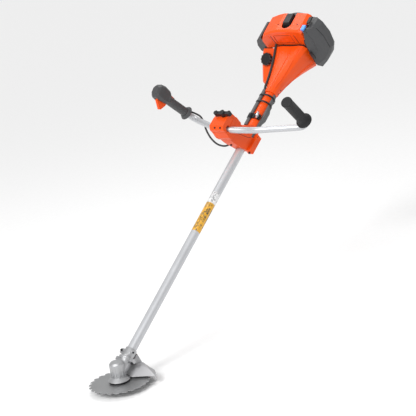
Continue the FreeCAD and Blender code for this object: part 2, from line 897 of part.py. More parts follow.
def hose_place():
    """Where the hose lies across the shaft, beside the sleeve."""
    reach = number("sleeve_radius") + number("hose_radius")
    turn = math.radians(48)
    return reach * math.cos(turn), reach * math.sin(turn)


def build_bracket():
    tube = size("tube_radius")
    seam, end = size("bracket_seam"), size("bracket_end")
    lower = [
        (1042, -22),
        (seam - 0.3, -22),
        (seam - 0.3, 96),
        (1006, 96),
        (1010, 72),
        (1026, 24),
    ]
    arm = padded("bracket_arm", lower, 48, WORLD, finished=False)
    lug = box((1042, -36, -38), (seam - 0.3, -12, -12))
    rooms = [
        rod("x", 1000, 1200, tube),
        rod("x", 1000, 1100, 2.6, *LUG_SCREW),
        room(screw_at(M5_SCREW, (1016.7, 4, 52), (0.95, 0, 0.316))),
        cable_channel(),
    ]
    screw_at(M5_SCREW, (1042, *LUG_SCREW), (1, 0, 0))
    finish(cut(fuse(arm, lug), *rooms), "bracket_lower", SHAFT)
    upper = [
        (seam + 0.3, -22),
        (end, -22),
        (end, 24),
        (seam + 16, 58),
        (seam + 0.3, 66),
    ]
    cap = padded("bracket_cap", upper, 48, WORLD, finished=False)
    lug = box((seam + 0.3, -36, -38), (1120, -12, -12))
    rooms = [
        rod("x", 1000, 1200, tube),
        rod("x", 1090, 1130, 2.6, *LUG_SCREW),
        room(pad_solid(0.3)),
        cable_channel(),
    ]
    finish(cut(fuse(cap, lug), *rooms), "bracket_upper", SHAFT)


CLAMP_SCREW_SIDES = (8.0, -20.0)
KNOB_PLACE = (1065.0, -12.0)


def build_bar_clamp():
    """Base and cap that hold the bar between them, and the wing knob that draws them together."""
    station, offset = size("bar_station"), size("bar_offset")
    base = [
        (1006, 96.3),
        (1090, 96.3),
        (1090, 130),
        (1086, offset - 0.5),
        (1003, offset - 0.5),
        (1001, 112),
    ]
    cap = [
        (1003, offset + 0.5),
        (1086, offset + 0.5),
        (1082, 166),
        (1050, 172),
        (1014, 172),
        (1002, 158),
    ]
    bar = rod("y", -60, 60, size("bar_radius"), station.value, offset.value)
    bolt = rod("z", 90, 180, 3.1, *KNOB_PLACE)
    body = cut(padded("clamp_block", base, 70, WORLD, finished=False), bar, bolt)
    finish(body, "bar_clamp_base", SHAFT)
    bar = rod("y", -60, 60, size("bar_radius"), station.value, offset.value)
    bolt = rod("z", 90, 180, 3.1, *KNOB_PLACE)
    seats = []
    for side in CLAMP_SCREW_SIDES:
        seats.append(room(screw_at(M4_SCREW, (1008.5, side, 165.5), (0.75, 0, -0.66))))
    body = cut(padded("clamp_lid", cap, 70, WORLD, finished=False), bar, bolt, *seats)
    finish(body, "bar_clamp_cap", SHAFT)
    x, y = KNOB_PLACE
    wing_top = 193.0
    hub = rod("z", 172.3, wing_top, 11.0, x, y)
    wings = []
    for side in (-1, 1):
        lower = min(y, y + side * 37)
        wing = box((x - 7, lower, 176), (x + 7, lower + 37, wing_top - 4))
        wings.append(wing)
        wings.append(rod("z", 176, wing_top - 2, 9.0, x, y + side * 33))
    bolt = rod("z", 112, 175, 3.0, x, y)
    finish(fuse(hub, bolt, *wings), "wing_knob", SHAFT)


# ---- Upper shaft: sleeve, pad, hose, clips, harness clamp --------------------------------------


def ring_sector(start, end, inner, outer, first, last):
    """Part of a ring about the shaft, between two angles measured from +y towards +z."""
    axis = Vector(1, 0, 0)
    ring = Part.makeCylinder(outer, end - start, Vector(start, 0, 0), axis)
    ring = ring.cut(Part.makeCylinder(inner, end - start, Vector(start, 0, 0), axis))
    reach = outer * 3
    middle = (first + last) / 2
    corners = [Vector(start, 0, 0)]
    for angle in (first, (first + middle) / 2, middle, (middle + last) / 2, last):
        turn = math.radians(angle)
        corners.append(Vector(start, reach * math.cos(turn), reach * math.sin(turn)))
    return ring.common(prism(corners, Vector(end - start, 0, 0)))


PAD_PROFILE = ((1097, 24.5), (1150, 27), (1178, 28.5), (1196, 35), (1234, 35), (1258, 28.5), (1312, 27))
PAD_FIRST, PAD_LAST = 168, 282
HOSE_START, HOSE_END = 1141.0, 1322.0


def pad_solid(grow):
    inner = number("sleeve_radius") + 0.2 - grow
    rows = [Vector(x, 0, radius + grow) for x, radius in PAD_PROFILE]
    rows[0].x -= grow
    rows[-1].x += grow
    corners = [Vector(rows[0].x, 0, inner)] + rows + [Vector(rows[-1].x, 0, inner)]
    face = Part.Face(polygon(corners))
    first = Rotation(Vector(1, 0, 0), PAD_FIRST - 90 - grow * 2)
    face.Placement = Placement(Vector(), first)
    return face.revolve(Vector(), Vector(1, 0, 0), PAD_LAST - PAD_FIRST + grow * 4)


def build_upper_shaft():
    tube, sleeve = size("tube_radius"), size("sleeve_radius")
    start, end = size("bracket_end"), size("sleeve_end")
    turned("shaft_sleeve", [(start, tube), (start, sleeve), (end, sleeve), (end, tube)], SHAFT)
    solid("hip_pad", pad_solid(0), SHAFT)
    hose = number("hose_radius")
    hose_y, hose_z = hose_place()
    axis = Vector(1, 0, 0)
    length = HOSE_END - HOSE_START
    sheath = Part.makeCylinder(hose, length, Vector(HOSE_START, hose_y, hose_z), axis)
    sheath = sheath.cut(Part.makeCylinder(hose - 1.8, length, Vector(HOSE_START, hose_y, hose_z), axis))
    solid("cable_hose", sheath, SHAFT)
    clips = [cable_clip(place, hose_y, hose_z) for place in (1256.0, 1289.0)]
    group("cable_clips", clips, SHAFT)


def cable_clip(place, hose_y, hose_z):
    """A strap round the sleeve, the pad and the hose."""
    width, thick = 7.0, 1.8
    axis = Vector(1, 0, 0)
    start = Vector(place, 0, 0)
    hose = number("hose_radius")
    pad = 29.2
    core = Part.makeCylinder(pad, width, start, axis)
    arm = Part.makeCylinder(hose, width, start + Vector(0, hose_y, hose_z), axis)
    outer = Part.makeCylinder(pad + thick, width, start, axis)
    bulge = Part.makeCylinder(hose + thick, width, start + Vector(0, hose_y, hose_z), axis)
    return outer.fuse(bulge).cut([core, arm])


# the eye's place along the shaft, its distance from the axis and its angle from +y
EYE_STATION = 1186.0
EYE_REACH = 38.5
EYE_ANGLE = 126.0


def build_harness_clamp():
    """Open clamp on the sleeve and the eye that the harness hook takes."""
    x = EYE_STATION
    axis = Vector(1, 0, 0)
    sleeve = number("sleeve_radius")
    start, width = x - 11, 22.0
    hose_y, hose_z = hose_place()
    hose = number("hose_radius")
    half_eye = number("eye_width") / 2
    frame = eye_frame()
    jaw = ring_sector(start, start + width, sleeve, sleeve + 4, -70, 158)
    arm = Part.makeCylinder(hose + 3, width, Vector(start, hose_y, hose_z), axis)
    seat = Part.makeBox(24, width, 10, Vector(-12, -width / 2, -20))
    eye_room = Part.makeCylinder(number("eye_radius"), 2 * half_eye, Vector(-half_eye, 0, 0), axis)
    for piece in (seat, eye_room):
        piece.Placement = frame.multiply(piece.Placement)
    tools = [
        Part.makeCylinder(sleeve, width + 2, Vector(start - 1, 0, 0), axis),
        Part.makeCylinder(hose + 0.3, width + 2, Vector(start - 1, hose_y, hose_z), axis),
        eye_room,
    ]
    solid("harness_clamp", jaw.fuse([arm, seat]).cut(tools), SHAFT)
    eye = [
        (-half_eye, size("eye_bore")),
        (-half_eye, size("eye_radius") - 1.5),
        (1.5 - half_eye, size("eye_radius")),
        (half_eye - 1.5, size("eye_radius")),
        (half_eye, size("eye_radius") - 1.5),
        (half_eye, size("eye_bore")),
    ]
    turned("harness_eye", eye, SHAFT.multiply(frame))


def eye_frame():
    """Frame of the eye in the shaft's axes: x through its bore, z away from the shaft."""
    turn = math.radians(EYE_ANGLE)
    out = Vector(0, math.cos(turn), math.sin(turn))
    through = Vector(0, math.sin(turn), -math.cos(turn))
    return place_along(Vector(EYE_STATION, 0, 0) + out * EYE_REACH, through, out)


# ---- Cables ------------------------------------------------------------------------------------

# Route of the throttle cable from the handle's base to the bracket's side, in the model's axes.
CABLE_ROUTE = (
    (904.0, 287.3, 800.5),
    (904.2, 259.7, 789.5),
    (894.5, 236.6, 763.6),
    (877.0, 217.0, 742.0),
    (869.0, 192.0, 709.0),
    (861.0, 153.0, 684.0),
    (853.0, 106.0, 679.0),
    (848.0, 64.0, 692.0),
)


def report_tube(name, shape, path, area):
    ratio = shape.Volume / (area * path.Length)
    print(f"{name}: length {path.Length:.1f} mm, volume ratio {ratio:.4f}")


def build_cables():
    """The throttle cable in the air and the engine's conduit along the clutch cover's edge."""
    radius = number("cable_radius")
    handle = grip_frame(1)
    start = handle.multVec(Vector(6, *CABLE_EXIT))
    leave = handle.multVec(Vector(-14, *CABLE_EXIT))
    points = [start, leave] + [Vector(*point) for point in CABLE_ROUTE]
    radii = cable_radii(points)
    print("throttle cable bend radii", [round(value, 1) for value in radii])
    path = rounded_path(points, radii)
    cable = swept(path, radius)
    report_tube("throttle cable", cable, path, math.pi * radius**2)
    solid("throttle_cable", cable)
    radius = number("conduit_radius")
    hose_y, hose_z = hose_place()
    points = [Vector(HOSE_END - 12, hose_y, hose_z), Vector(HOSE_END + 2, hose_y, hose_z)]
    lift = (radius + 0.6) * math.sqrt(0.5)
    for share in COVER_SHARES[1:]:
        edge = funnel_points(share)[COVER_EDGE]
        points.append(edge + Vector(0, lift, lift))
    points.append(points[-1] + Vector(7.5, 2, 1))
    path = rounded_path(points, cable_radii(points))
    conduit = swept(path, radius)
    report_tube("engine conduit", conduit, path, math.pi * radius**2)
    solid("engine_conduit", conduit, SHAFT)


# ---- Clutch cover ------------------------------------------------------------------------------

FUNNEL_BASE = (
    (78, -8),
    (78, 28),
    (60, 40),
    (30, 42),
    (-12, 40),
    (-54, 42),
    (-76, 38),
    (-87, 22),
    (-88, -22),
    (-84, -64),
    (-72, -81),
    (-20, -82),
    (40, -80),
    (70, -58),
)
# shares of the cover's length at which its section is drawn, and the edge the conduit follows
COVER_SHARES = (0.0, 0.12, 0.3, 0.5, 0.7, 0.86, 1.0)
COVER_EDGE = 2


def funnel_points(share, inset=0.0):
    """Section of the clutch cover at a share of its length: round in front, flaring to the engine."""
    start, end = number("funnel_start"), number("funnel_end")
    flare = share**1.55
    sink = 10 * flare
    points = []
    count = len(FUNNEL_BASE)
    for index, (y, z) in enumerate(FUNNEL_BASE):
        turn = 2 * math.pi * (index - 0.5) / count
        ring_y = number("funnel_radius") * math.cos(turn)
        ring_z = number("funnel_radius") * math.sin(turn)
        wide_y = ring_y + (y - ring_y) * flare
        wide_z = ring_z + (z - ring_z) * flare + sink
        scale = 1 - inset / math.hypot(wide_y, wide_z)
        points.append(Vector(start + (end - start) * share, wide_y * scale, wide_z * scale - sink))
    return points


def funnel_section(share, inset=0.0):
    return polygon(funnel_points(share, inset))


def split_tool(above):
    """Half space over or under the cover's parting plane, which dips towards the engine."""
    start, end = 1290.0, 1560.0
    gap = 0.2 if above else -0.2
    far = 200 if above else -200
    corners = [
        Vector(start, -200, -22 + gap),
        Vector(end, -200, -52 + gap),
        Vector(end, -200, far),
        Vector(start, -200, far),
    ]
    return prism(corners, Vector(0, 400, 0))


COVER_SCREWS = ((1330, -24.2, -12.2), (1350, -27.0, -13.5))
CARRIER_START, CARRIER_END = 1404.0, 1480.0


def build_clutch_cover():
    """Two half shells; the upper one carries the tube's end and the drum bearings."""
    wall = number("shell_wall")
    axis = Vector(1, 0, 0)
    outside = Part.makeLoft([funnel_section(share) for share in COVER_SHARES], True, True)
    rows = [funnel_section(share, wall * 1.25) for share in (0.14,) + COVER_SHARES[2:]]
    hollow = Part.makeLoft(rows, True, True)
    sleeve = Part.makeCylinder(number("sleeve_radius"), 400, Vector(1200, 0, 0), axis)
    hose_y, hose_z = hose_place()
    hose = Part.makeCylinder(number("hose_radius") + 0.6, 70, Vector(1290, hose_y, hose_z), axis)
    tools = [hollow, sleeve, pad_solid(0.3), hose]
    for seat in COVER_SCREWS:
        tools.append(screw_at(M3_SCREW, seat, (0, 0.893, 0.45)))
    shell = outside.cut(tools)
    bearing_seat = number("bearing_radius")
    carrier = Part.makeCylinder(24.0, CARRIER_END - CARRIER_START, Vector(CARRIER_START, 0, 0), axis)
    web = Part.makeCylinder(33.5, 5, Vector(CARRIER_END - 5, 0, 0), axis)
    bore = Part.makeCylinder(number("tube_radius"), 36, Vector(CARRIER_START, 0, 0), axis)
    seat = Part.makeCylinder(bearing_seat, 45, Vector(number("tube_end"), 0, 0), axis)
    carrier = carrier.fuse(web).cut([bore, seat])
    solid("clutch_cover", shell.common(split_tool(True)).fuse(carrier), SHAFT)
    solid("clutch_undercover", shell.common(split_tool(False)), SHAFT)


# ---- Engine ------------------------------------------------------------------------------------

SHOE_START, SHOE_WIDTH = 1504.0, 12.0


def build_clutch():
    drum = size("drum_radius")
    profile = [
        (1441, size("drive_radius")),
        (1441, size("journal_radius")),
        (1497, size("journal_radius")),
        (1497, drum - 2),
        (1500, drum),
        (1522, drum),
        (1522, drum - 2.5),
        (1501, drum - 2.5),
        (1501, 0),
        (size("drive_end"), 0),
        (size("drive_end"), size("drive_radius")),
    ]
    turned("clutch_drum", profile, SHAFT)
    axis = Vector(1, 0, 0)
    start, end = SHOE_START, SHOE_START + SHOE_WIDTH
    outer = number("drum_radius") - 3.6
    bore = Part.makeCylinder(number("crank_radius") - 1.5, SHOE_WIDTH, Vector(start, 0, 0), axis)
    hub = Part.makeCylinder(12, SHOE_WIDTH, Vector(start, 0, 0), axis).cut(bore)
    shoes = []
    for side in (0, 180):
        shoe = ring_sector(start, end, 16, outer, side + 12, side + 168)
        link = ring_sector(start, end, 11.9, 16.1, side + 75, side + 105)
        shoes += [shoe, link]
    solid("clutch_shoes", hub.fuse(shoes), SHAFT)


def build_crank():
    """Crankshaft with full discs, and the flywheel on its rear end."""
    station = number("crank_station")
    radius = number("crank_radius")
    axis = Vector(1, 0, 0)
    front = Part.makeCylinder(radius - 1.5, 24, Vector(SHOE_START, 0, 0), axis)
    middle = Part.makeCylinder(radius, station - 1544, Vector(1528, 0, 0), axis)
    discs = [
        Part.makeCylinder(27, 10, Vector(station - 16, 0, 0), axis),
        Part.makeCylinder(27, 10, Vector(station + 6, 0, 0), axis),
    ]
    pin = Part.makeCylinder(6, 16, Vector(station - 8, 0, 15), axis)
    rear = Part.makeCylinder(radius, 34, Vector(station + 16, 0, 0), axis)
    tail = Part.makeCylinder(radius - 2, 26, Vector(station + 50, 0, 0), axis)
    solid("crankshaft", front.fuse([middle, pin, rear, tail] + discs), SHAFT)
    rim = number("flywheel_radius")
    start = Vector(1652, 0, 0)
    wheel = Part.makeCylinder(rim, 7, start, axis)
    hub = Part.makeCylinder(14, 16, start, axis)
    count = 14
    vanes = []
    for step in range(count):
        vane = Part.makeBox(9, 2, 26, Vector(1658, -1, 20))
        vane.rotate(Vector(1658, 0, 46), axis, 25)
        vane.rotate(Vector(), axis, 360.0 / count * step)
        vanes.append(vane)
    wheel = wheel.fuse([hub] + vanes)
    wheel = wheel.common(Part.makeCylinder(rim, 30, start, axis))
    wheel = wheel.cut(Part.makeCylinder(radius - 2, 30, start, axis))
    solid("flywheel", wheel, SHAFT)


def build_crankcase():
    """Crankcase with its front plate, a wing for the tank, and a hollow for the crank's discs."""
    station = number("crank_station")
    axis = Vector(1, 0, 0)
    plate = prism([Vector(1541, y * 0.96, z * 0.96) for y, z in FUNNEL_BASE], Vector(7, 0, 0))
    neck = Part.makeBox(8, 84, 62, Vector(1548, -42, -42))
    wing = Part.makeBox(4.5, 190, 50, Vector(1551.5, -42, -80))
    case = Part.makeBox(92.8, 84, 76, Vector(1556, -42, -42))
    case = case.makeFillet(8, [edge for edge in case.Edges if edge.Length > 90])
    hollow = Part.makeCylinder(29, 38, Vector(station - 19, 0, 0), axis)
    chest = Part.makeCylinder(23.5, 60, Vector(station, 0, 0), Vector(0, 0, 1))
    tools = [hollow, chest]
    tools.append(Part.makeCylinder(number("crank_radius") + 2, 200, Vector(1530, 0, 0), axis))
    for place in CRANK_BEARINGS:
        tools.append(Part.makeCylinder(CRANK_BEARING_RADIUS, 12, Vector(place, 0, 0), axis))
    solid("crankcase", plate.fuse([neck, wing, case]).cut(tools), SHAFT)


CYLINDER_FOOT = 34.2
INTAKE_HEIGHT = 50.0


def build_cylinder():
    """Finned barrel and head, with the piston in it and the spark plug on top."""
    station = number("crank_station")
    bore = number("bore_radius")
    up = Vector(0, 0, 1)
    barrel = Part.makeCylinder(bore + 5, 54, Vector(station, 0, CYLINDER_FOOT), up)
    base = Part.makeBox(64, 64, 5, Vector(station - 32, -32, CYLINDER_FOOT))
    fins = []
    for step in range(7):
        fins.append(Part.makeCylinder(number("fin_radius"), 2, Vector(station, 0, 44 + 6.6 * step), up))
    intake = Part.makeCylinder(12, 24, Vector(station, -44.2, INTAKE_HEIGHT), Vector(0, 1, 0))
    liner = Part.makeCylinder(bore, 46, Vector(station, 0, 30), up)
    plug_hole = Part.makeCylinder(5, 20, Vector(station, 0, 74), up)
    sides = Part.makeBox(78, 200, 100, Vector(station - 39, -100, 0))
    block = barrel.fuse([base, intake] + fins).common(sides).cut([liner, plug_hole])
    solid("cylinder", block, SHAFT)
    crown = Part.makeCylinder(bore - number("running_gap"), 24, Vector(station, 0, 36), up)
    tools = [Part.makeCylinder(bore - 3, 18, Vector(station, 0, 36), up)]
    for height in (52, 56):
        groove = Part.makeCylinder(bore, 1.2, Vector(station, 0, height), up)
        core = Part.makeCylinder(bore - 1.6, 1.2, Vector(station, 0, height), up)
        tools.append(groove.cut(core))
    solid("piston", crown.cut(tools), SHAFT)
    plug = Part.makeCylinder(5, 9, Vector(station, 0, 80), up)
    shell = Part.makeCylinder(8, 6, Vector(station, 0, 88.2), up)
    insulator = Part.makeCone(4.5, 3.5, 12, Vector(station, 0, 94), up)
    solid("spark_plug", plug.fuse([shell, insulator]), SHAFT)
    sections = (
        (95, -14, -24, 26, 10),
        (110, -19, -33, 38, 6),
        (130, -12, -30, 36, 2),
    )
    rows = []
    for height, back, left, front, right in sections:
        corners = ((back, left), (back, right), (front, right), (front, left))
        rows.append(polygon([Vector(station + x, y, height) for x, y in corners]))
    boot = Part.makeLoft(rows, True, True)
    socket = Part.makeCylinder(5, 14, Vector(station, 0, 93), up)
    solid("plug_cap", boot.cut(socket), SHAFT)


TOP_COVER = (
    (-99, 26),
    (-99, 104),
    (-86, 114),
    (-48, 118),
    (-38, 120),
    (28, 121),
    (60, 115),
    (104, 102),
    (131, 72),
    (131, 26),
)
COVER_FRONT, COVER_BACK = 1549.0, 1648.0


def cover_rows(station, inset, drop):
    """One section of the top cover, drawn in from its outside and let down at the open edge."""
    rows = []
    for y, z in TOP_COVER:
        rows.append(Vector(station, y * (1 - inset / 110), z - inset if z > 40 else z - drop))
    return polygon(rows)


def build_top_cover():
    """Orange cover over the cylinder, open below and behind its front wall, notched for the plug."""
    front = COVER_FRONT
    outside = [cover_rows(front, 5, 0), cover_rows(front + 9, 0.5, 4)]
    outside += [cover_rows(place, 0, 4) for place in (1600, COVER_BACK)]
    inside = [cover_rows(front + 3.5, 8.5, 8), cover_rows(front + 13, 3.8, 12)]
    inside += [cover_rows(place, 3.2, 12) for place in (1600, COVER_BACK - 3)]
    shell = Part.makeLoft(outside, True, True)
    tools = [
        Part.makeLoft(inside, True, True),
        Part.makeBox(70, 46, 60, Vector(1588, -37, 90)),
        Part.makeCylinder(23, 60, Vector(1588, -14, 90), Vector(0, 0, 1)),
        Part.makeCylinder(14, 20, Vector(1600, -110, INTAKE_HEIGHT), Vector(0, 1, 0)),
        Part.makeBox(66, 24, 46, Vector(1564, 120, 16)),
        Part.makeBox(12, 85, 30, Vector(1640, -42.5, 6)),
        screw_at(M3_SCREW, (1587, 30, 119), (0, 0, -1)),
        screw_at(M3_SCREW, (1587, -66, 114.5), (0, 0, -1)),
    ]
    solid("top_cover", shell.cut(tools), SHAFT)


def build_exhaust():
    """Silencer on the throttle side and the ribbed guard that keeps hands off it."""
    along, across = Vector(1, 0, 0), Vector(0, 1, 0)
    can = Part.makeBox(58, 94, 58, Vector(1568, 64, 0))
    can = can.makeFillet(8, [edge for edge in can.Edges if edge.Length > 60])
    port = Part.makeCylinder(11, 36, Vector(1600, 34, 52), across)
    up = Vector(0, 0, 1)
    barrel = Part.makeCylinder(number("bore_radius") + 5, 54, Vector(1600, 0, CYLINDER_FOOT), up)
    fins = Part.makeCylinder(number("fin_radius") + 0.4, 60, Vector(1600, 0, 40), up)
    tail = Part.makeCylinder(5, 26, Vector(1616, 146, 28), along)
    solid("silencer", can.fuse([port, tail]).cut([barrel, fins]), SHAFT)
    outline = ((131.2, -8), (131.2, 82), (144, 80), (164, 62), (176, 34), (176, 4), (166, -8))
    inner = ((128, -5), (128, 78), (142, 77), (161, 60), (173, 33), (173, 5), (165, -5))
    shell = prism([Vector(1556, y, z) for y, z in outline], Vector(88, 0, 0))
    tools = [prism([Vector(1559, y, z) for y, z in inner], Vector(90, 0, 0))]
    for step in range(5):
        tools.append(Part.makeBox(8, 60, 50, Vector(1568 + 14 * step, 150, 6)))
    solid("silencer_guard", shell.cut(tools), SHAFT)


FILTER_OUTLINE = (
    (1515, -50),
    (1535, -80),
    (1600, -80),
    (1640, -50),
    (1650, 60),
    (1645, 97),
    (1556, 112),
    (1526, 66),
)
# the filter cover's sections towards its end, with the same corners in the same order
COVER_SECTIONS = (
    (-108.3, FILTER_OUTLINE),
    (
        -132,
        (
            (1541, -46),
            (1554, -66),
            (1600, -69),
            (1634, -44),
            (1643, 54),
            (1640, 92),
            (1577, 100),
            (1552, 62),
        ),
    ),
    (
        -150,
        (
            (1562, -30),
            (1572, -45),
            (1600, -50),
            (1626, -32),
            (1635, 44),
            (1632, 80),
            (1592, 84),
            (1570, 54),
        ),
    ),
    (
        -163,
        (
            (1581, -10),
            (1588, -20),
            (1602, -24),
            (1615, -12),
            (1625, 32),
            (1622, 64),
            (1603, 65),
            (1588, 44),
        ),
    ),
)
FILTER_CENTRE = (1588.0, 6.0)
CHOKE_AXIS = (1562.0, 96.0)


def filter_rows(y, outline, inset):
    """Section of the filter housing, drawn in towards its middle."""
    centre_x, centre_z = FILTER_CENTRE
    rows = []
    for x, z in outline:
        scale = 1 - inset / math.hypot(x - centre_x, z - centre_z)
        rows.append(Vector(centre_x + (x - centre_x) * scale, y, centre_z + (z - centre_z) * scale))
    return polygon(rows)


def choke_room():
    """The sweep of the choke lever's tab through the filter base and cover."""
    x, z = CHOKE_AXIS
    across = Vector(0, 1, 0)
    sweep = Part.makeCylinder(30.5, 18, Vector(x, -118, z), across)
    sweep = sweep.cut(Part.makeCylinder(17, 18, Vector(x, -118, z), across))
    return sweep.common(Part.makeBox(90, 30, 60, Vector(x - 45, -125, z + 4)))


def build_intake():
    """Carburettor, filter base, filter element and its snap-on cover."""
    across = Vector(0, 1, 0)
    middle = Vector(1600, 0, INTAKE_HEIGHT)
    bowl = Part.makeBox(34, 30, 38, Vector(1583, -88, 30))
    neck = Part.makeCylinder(12, 14.1, middle + Vector(0, -58.5, 0), across)
    bell = Part.makeCylinder(13, 12, middle + Vector(0, -100, 0), across)
    throat = Part.makeCylinder(8, 60, middle + Vector(0, -101, 0), across)
    solid("carburettor", bowl.fuse([neck, bell]).cut(throat), SHAFT)
    x, z = CHOKE_AXIS
    plate = [filter_rows(y, FILTER_OUTLINE, inset) for y, inset in ((-100.3, 5), (-108, 4))]
    plate = Part.makeLoft(plate, True, True)
    boss = Part.makeCylinder(5, 6, Vector(x, -114, z), across)
    tools = [
        Part.makeCylinder(13, 20, middle + Vector(0, -112, 0), across),
        Part.makeCylinder(3.05, 20, Vector(x, -118, z), across),
        Part.makeCylinder(31, 6.8, Vector(x, -106.8, z), across),
        choke_room(),
    ]
    solid("filter_base", plate.fuse(boss).cut(tools), SHAFT)
    element = Part.makeBox(50, 27, 84, Vector(1573, -138, -26))
    pleats = []
    for step in range(12):
        pleats.append(Part.makeBox(2, 5, 82, Vector(1574.5 + 4 * step, -139, -25)))
    solid("air_filter", element.cut(pleats), SHAFT)
    outer = [filter_rows(y, outline, 0) for y, outline in COVER_SECTIONS]
    inner = [filter_rows(y + 3.5, outline, 4) for y, outline in COVER_SECTIONS]
    spindle_room = Part.makeCylinder(5.3, 18, Vector(x, -118, z), across)
    tools = [Part.makeLoft(inner, True, True), choke_room(), spindle_room]
    shell = Part.makeLoft(outer, True, True).cut(tools)
    solid("filter_cover", shell, SHAFT)
    spindle = Part.makeCylinder(3.0, 12, Vector(x, -113, z), across)
    arm = Part.makeBox(10, 5, 23, Vector(x - 5, -106, z - 5))
    tab = Part.makeBox(24, 15, 7, Vector(x - 9, -116, z + 18))
    solid("choke_lever", arm.fuse([spindle, tab]), SHAFT)


# hinge lines of the filter cover's latches, along and away from the shaft
UPPER_HINGE = (1624.0, 114.5)
LOWER_HINGE = (1516.0, 22.0)
LATCH_START, LATCH_WIDTH = -124.0, 14.0


def hinge_pin(x, z):
    """Round pin across a latch, standing out at both of its sides."""
    return Part.makeCylinder(1.6, LATCH_WIDTH + 3, Vector(x, LATCH_START - 1.5, z), Vector(0, 1, 0))


def latch_plate(outline):
    corners = [Vector(x, LATCH_START, z) for x, z in outline]
    return prism(corners, Vector(0, LATCH_WIDTH, 0))


def build_latches():
    """Snap latches of the filter cover: one over its top edge, one on its front edge."""
    x, z = UPPER_HINGE
    upper = [(x - 32, 112.4), (x - 32, 117.5), (x - 4, 118.5), (x + 1.2, 116), (x + 1.2, 112.4)]
    plate = latch_plate(upper)
    solid("upper_latch", plate.fuse(hinge_pin(x, z)), SHAFT)
    x, z = LOWER_HINGE
    lower = [(x + 2.6, z + 2), (x - 1, z + 2), (x - 3.5, z - 4), (x - 2.5, z - 32), (x + 1.9, z - 32)]
    plate = latch_plate(lower)
    solid("lower_latch", plate.fuse(hinge_pin(x, z)), SHAFT)


# sections of the fuel tank: place, sides across, lowest and highest
TANK_ROWS = (
    (1430, 88, 130, -86, -64),
    (1444, 80, 150, -92, -54),
    (1513, 80, 160, -94, -6),
    (1551, 81, 160, -90, 20),
)
CAP_BASE = Vector(1513, 122, -6)
CAP_AXIS = Vector(-0.571, 0, 0.821).normalize()
NECK_HEIGHT = 12.0


def tank_section(place, left, right, low, high, inset=0.0):
    left, right, low, high = left + inset, right - inset, low + inset, high - inset
    bevel = min(12.0, (high - low) * 0.3)
    corners = [
        (left, low + bevel),
        (left, high - bevel),
        (left + bevel, high),
        (right - bevel, high),
        (right, high - bevel),
        (right, low + bevel),
        (right - bevel, low),
        (left + bevel, low),
    ]
    return polygon([Vector(place, y, z) for y, z in corners])


def build_fuel_tank():
    outside = Part.makeLoft([tank_section(*row) for row in TANK_ROWS], True, True)
    rows = [tank_section(*row, inset=3.5) for row in TANK_ROWS[1:]]
    rows[-1].translate(Vector(-3, 0, 0))
    hollow = Part.makeLoft(rows, True, True)
    throat_radius = 13.0
    filler = Part.makeCylinder(17, NECK_HEIGHT + 8, CAP_BASE - CAP_AXIS * 8, CAP_AXIS)
    throat = Part.makeCylinder(throat_radius, 40, CAP_BASE - CAP_AXIS * 20, CAP_AXIS)
    tank = outside.cut(hollow).fuse(filler.cut(hollow)).cut(throat)
    solid("fuel_tank", tank, SHAFT)
    # the cap turns on the filler neck: skirt outside it, plug down its throat
    plug = throat_radius - number("running_gap")
    rim = size("cap_radius")
    profile = [
        (4, 0),
        (4, plug),
        (NECK_HEIGHT + 0.3, plug),
        (NECK_HEIGHT + 0.3, 17.4),
        (2, 17.4),
        (2, rim - 1),
        (3, rim),
        (15, rim),
        (17.5, rim - 3),
        (18.5, 0),
    ]
    turned("fuel_cap", profile, SHAFT.multiply(place_along(CAP_BASE, CAP_AXIS)))


def build_starter():
    """Recoil starter housing behind the flywheel, and its pull handle."""
    along, across = Vector(1, 0, 0), Vector(0, 1, 0)
    front = 1649.2
    rim = number("starter_radius")
    shell = Part.makeCylinder(rim, 30, Vector(front, 0, 0), along)
    shell = shell.fuse(Part.makeCone(rim, rim - 22, 12, Vector(front + 30, 0, 0), along))
    tools = [Part.makeCylinder(52, 29, Vector(front, 0, 0), along)]
    for side in (-1, 1):
        tools.append(Part.makeBox(60, 40, 240, Vector(front - 5, side * 100 - 20, -120)))
    count = 9
    for step in range(count):
        slot = Part.makeBox(20, 4, 30, Vector(1677, -2, 18))
        slot.rotate(Vector(), along, 360 / count * step)
        tools.append(slot)
    post = Part.makeCylinder(9, 18, Vector(1677.5, 0, 0), along)
    bores = [
        Part.makeCylinder(number("crank_radius") - 1, 60, Vector(1640, 0, 0), along),
        Part.makeCylinder(3, 42, Vector(1672, -96, 40), across),
    ]
    solid("starter_housing", shell.cut(tools).fuse(post).cut(bores), SHAFT)
    grip = Part.makeBox(10, 12, 42, Vector(1667, -92.5, 19))
    grip = grip.makeFillet(4, [edge for edge in grip.Edges if edge.Length > 40])
    stub = Part.makeCylinder(2, 26, Vector(1672, -81, 40), across)
    solid("starter_grip", grip.fuse(stub), SHAFT)


def build_fasteners():
    group("fasteners", FASTENERS)


BUILDERS = (
    build_arbor,
    build_drive_disc,
    build_saw_blade,
    build_blade_clamp,
    build_gears,
    build_gear_housing,
    build_housing_clamp,
    build_bearings,
    build_shaft,
    build_guard,
    build_handlebar,
    build_right_grip,
    build_left_handle,
    build_controls,
    build_bracket,
    build_bar_clamp,
    build_upper_shaft,
    build_harness_clamp,
    build_cables,
    build_clutch_cover,
    build_clutch,
    build_crank,
    build_crankcase,
    build_cylinder,
    build_top_cover,
    build_exhaust,
    build_intake,
    build_latches,
    build_fuel_tank,
    build_starter,
    build_fasteners,
)


def check_document():
    """Stops if anything failed to compute, before any file is written."""
    for item in doc.Objects:
        bad = {"Invalid", "Error"} & set(item.State)
        if bad:
            raise RuntimeError(f"{item.Name} ({item.Label}) did not compute: {item.State}")
    for piece in nodes:
        if piece.Shape.isNull() or not piece.Shape.isValid():
            raise RuntimeError(f"{piece.Label} has no valid shape")
        if not piece.Shape.Solids:
            raise RuntimeError(f"{piece.Label} holds no solid")


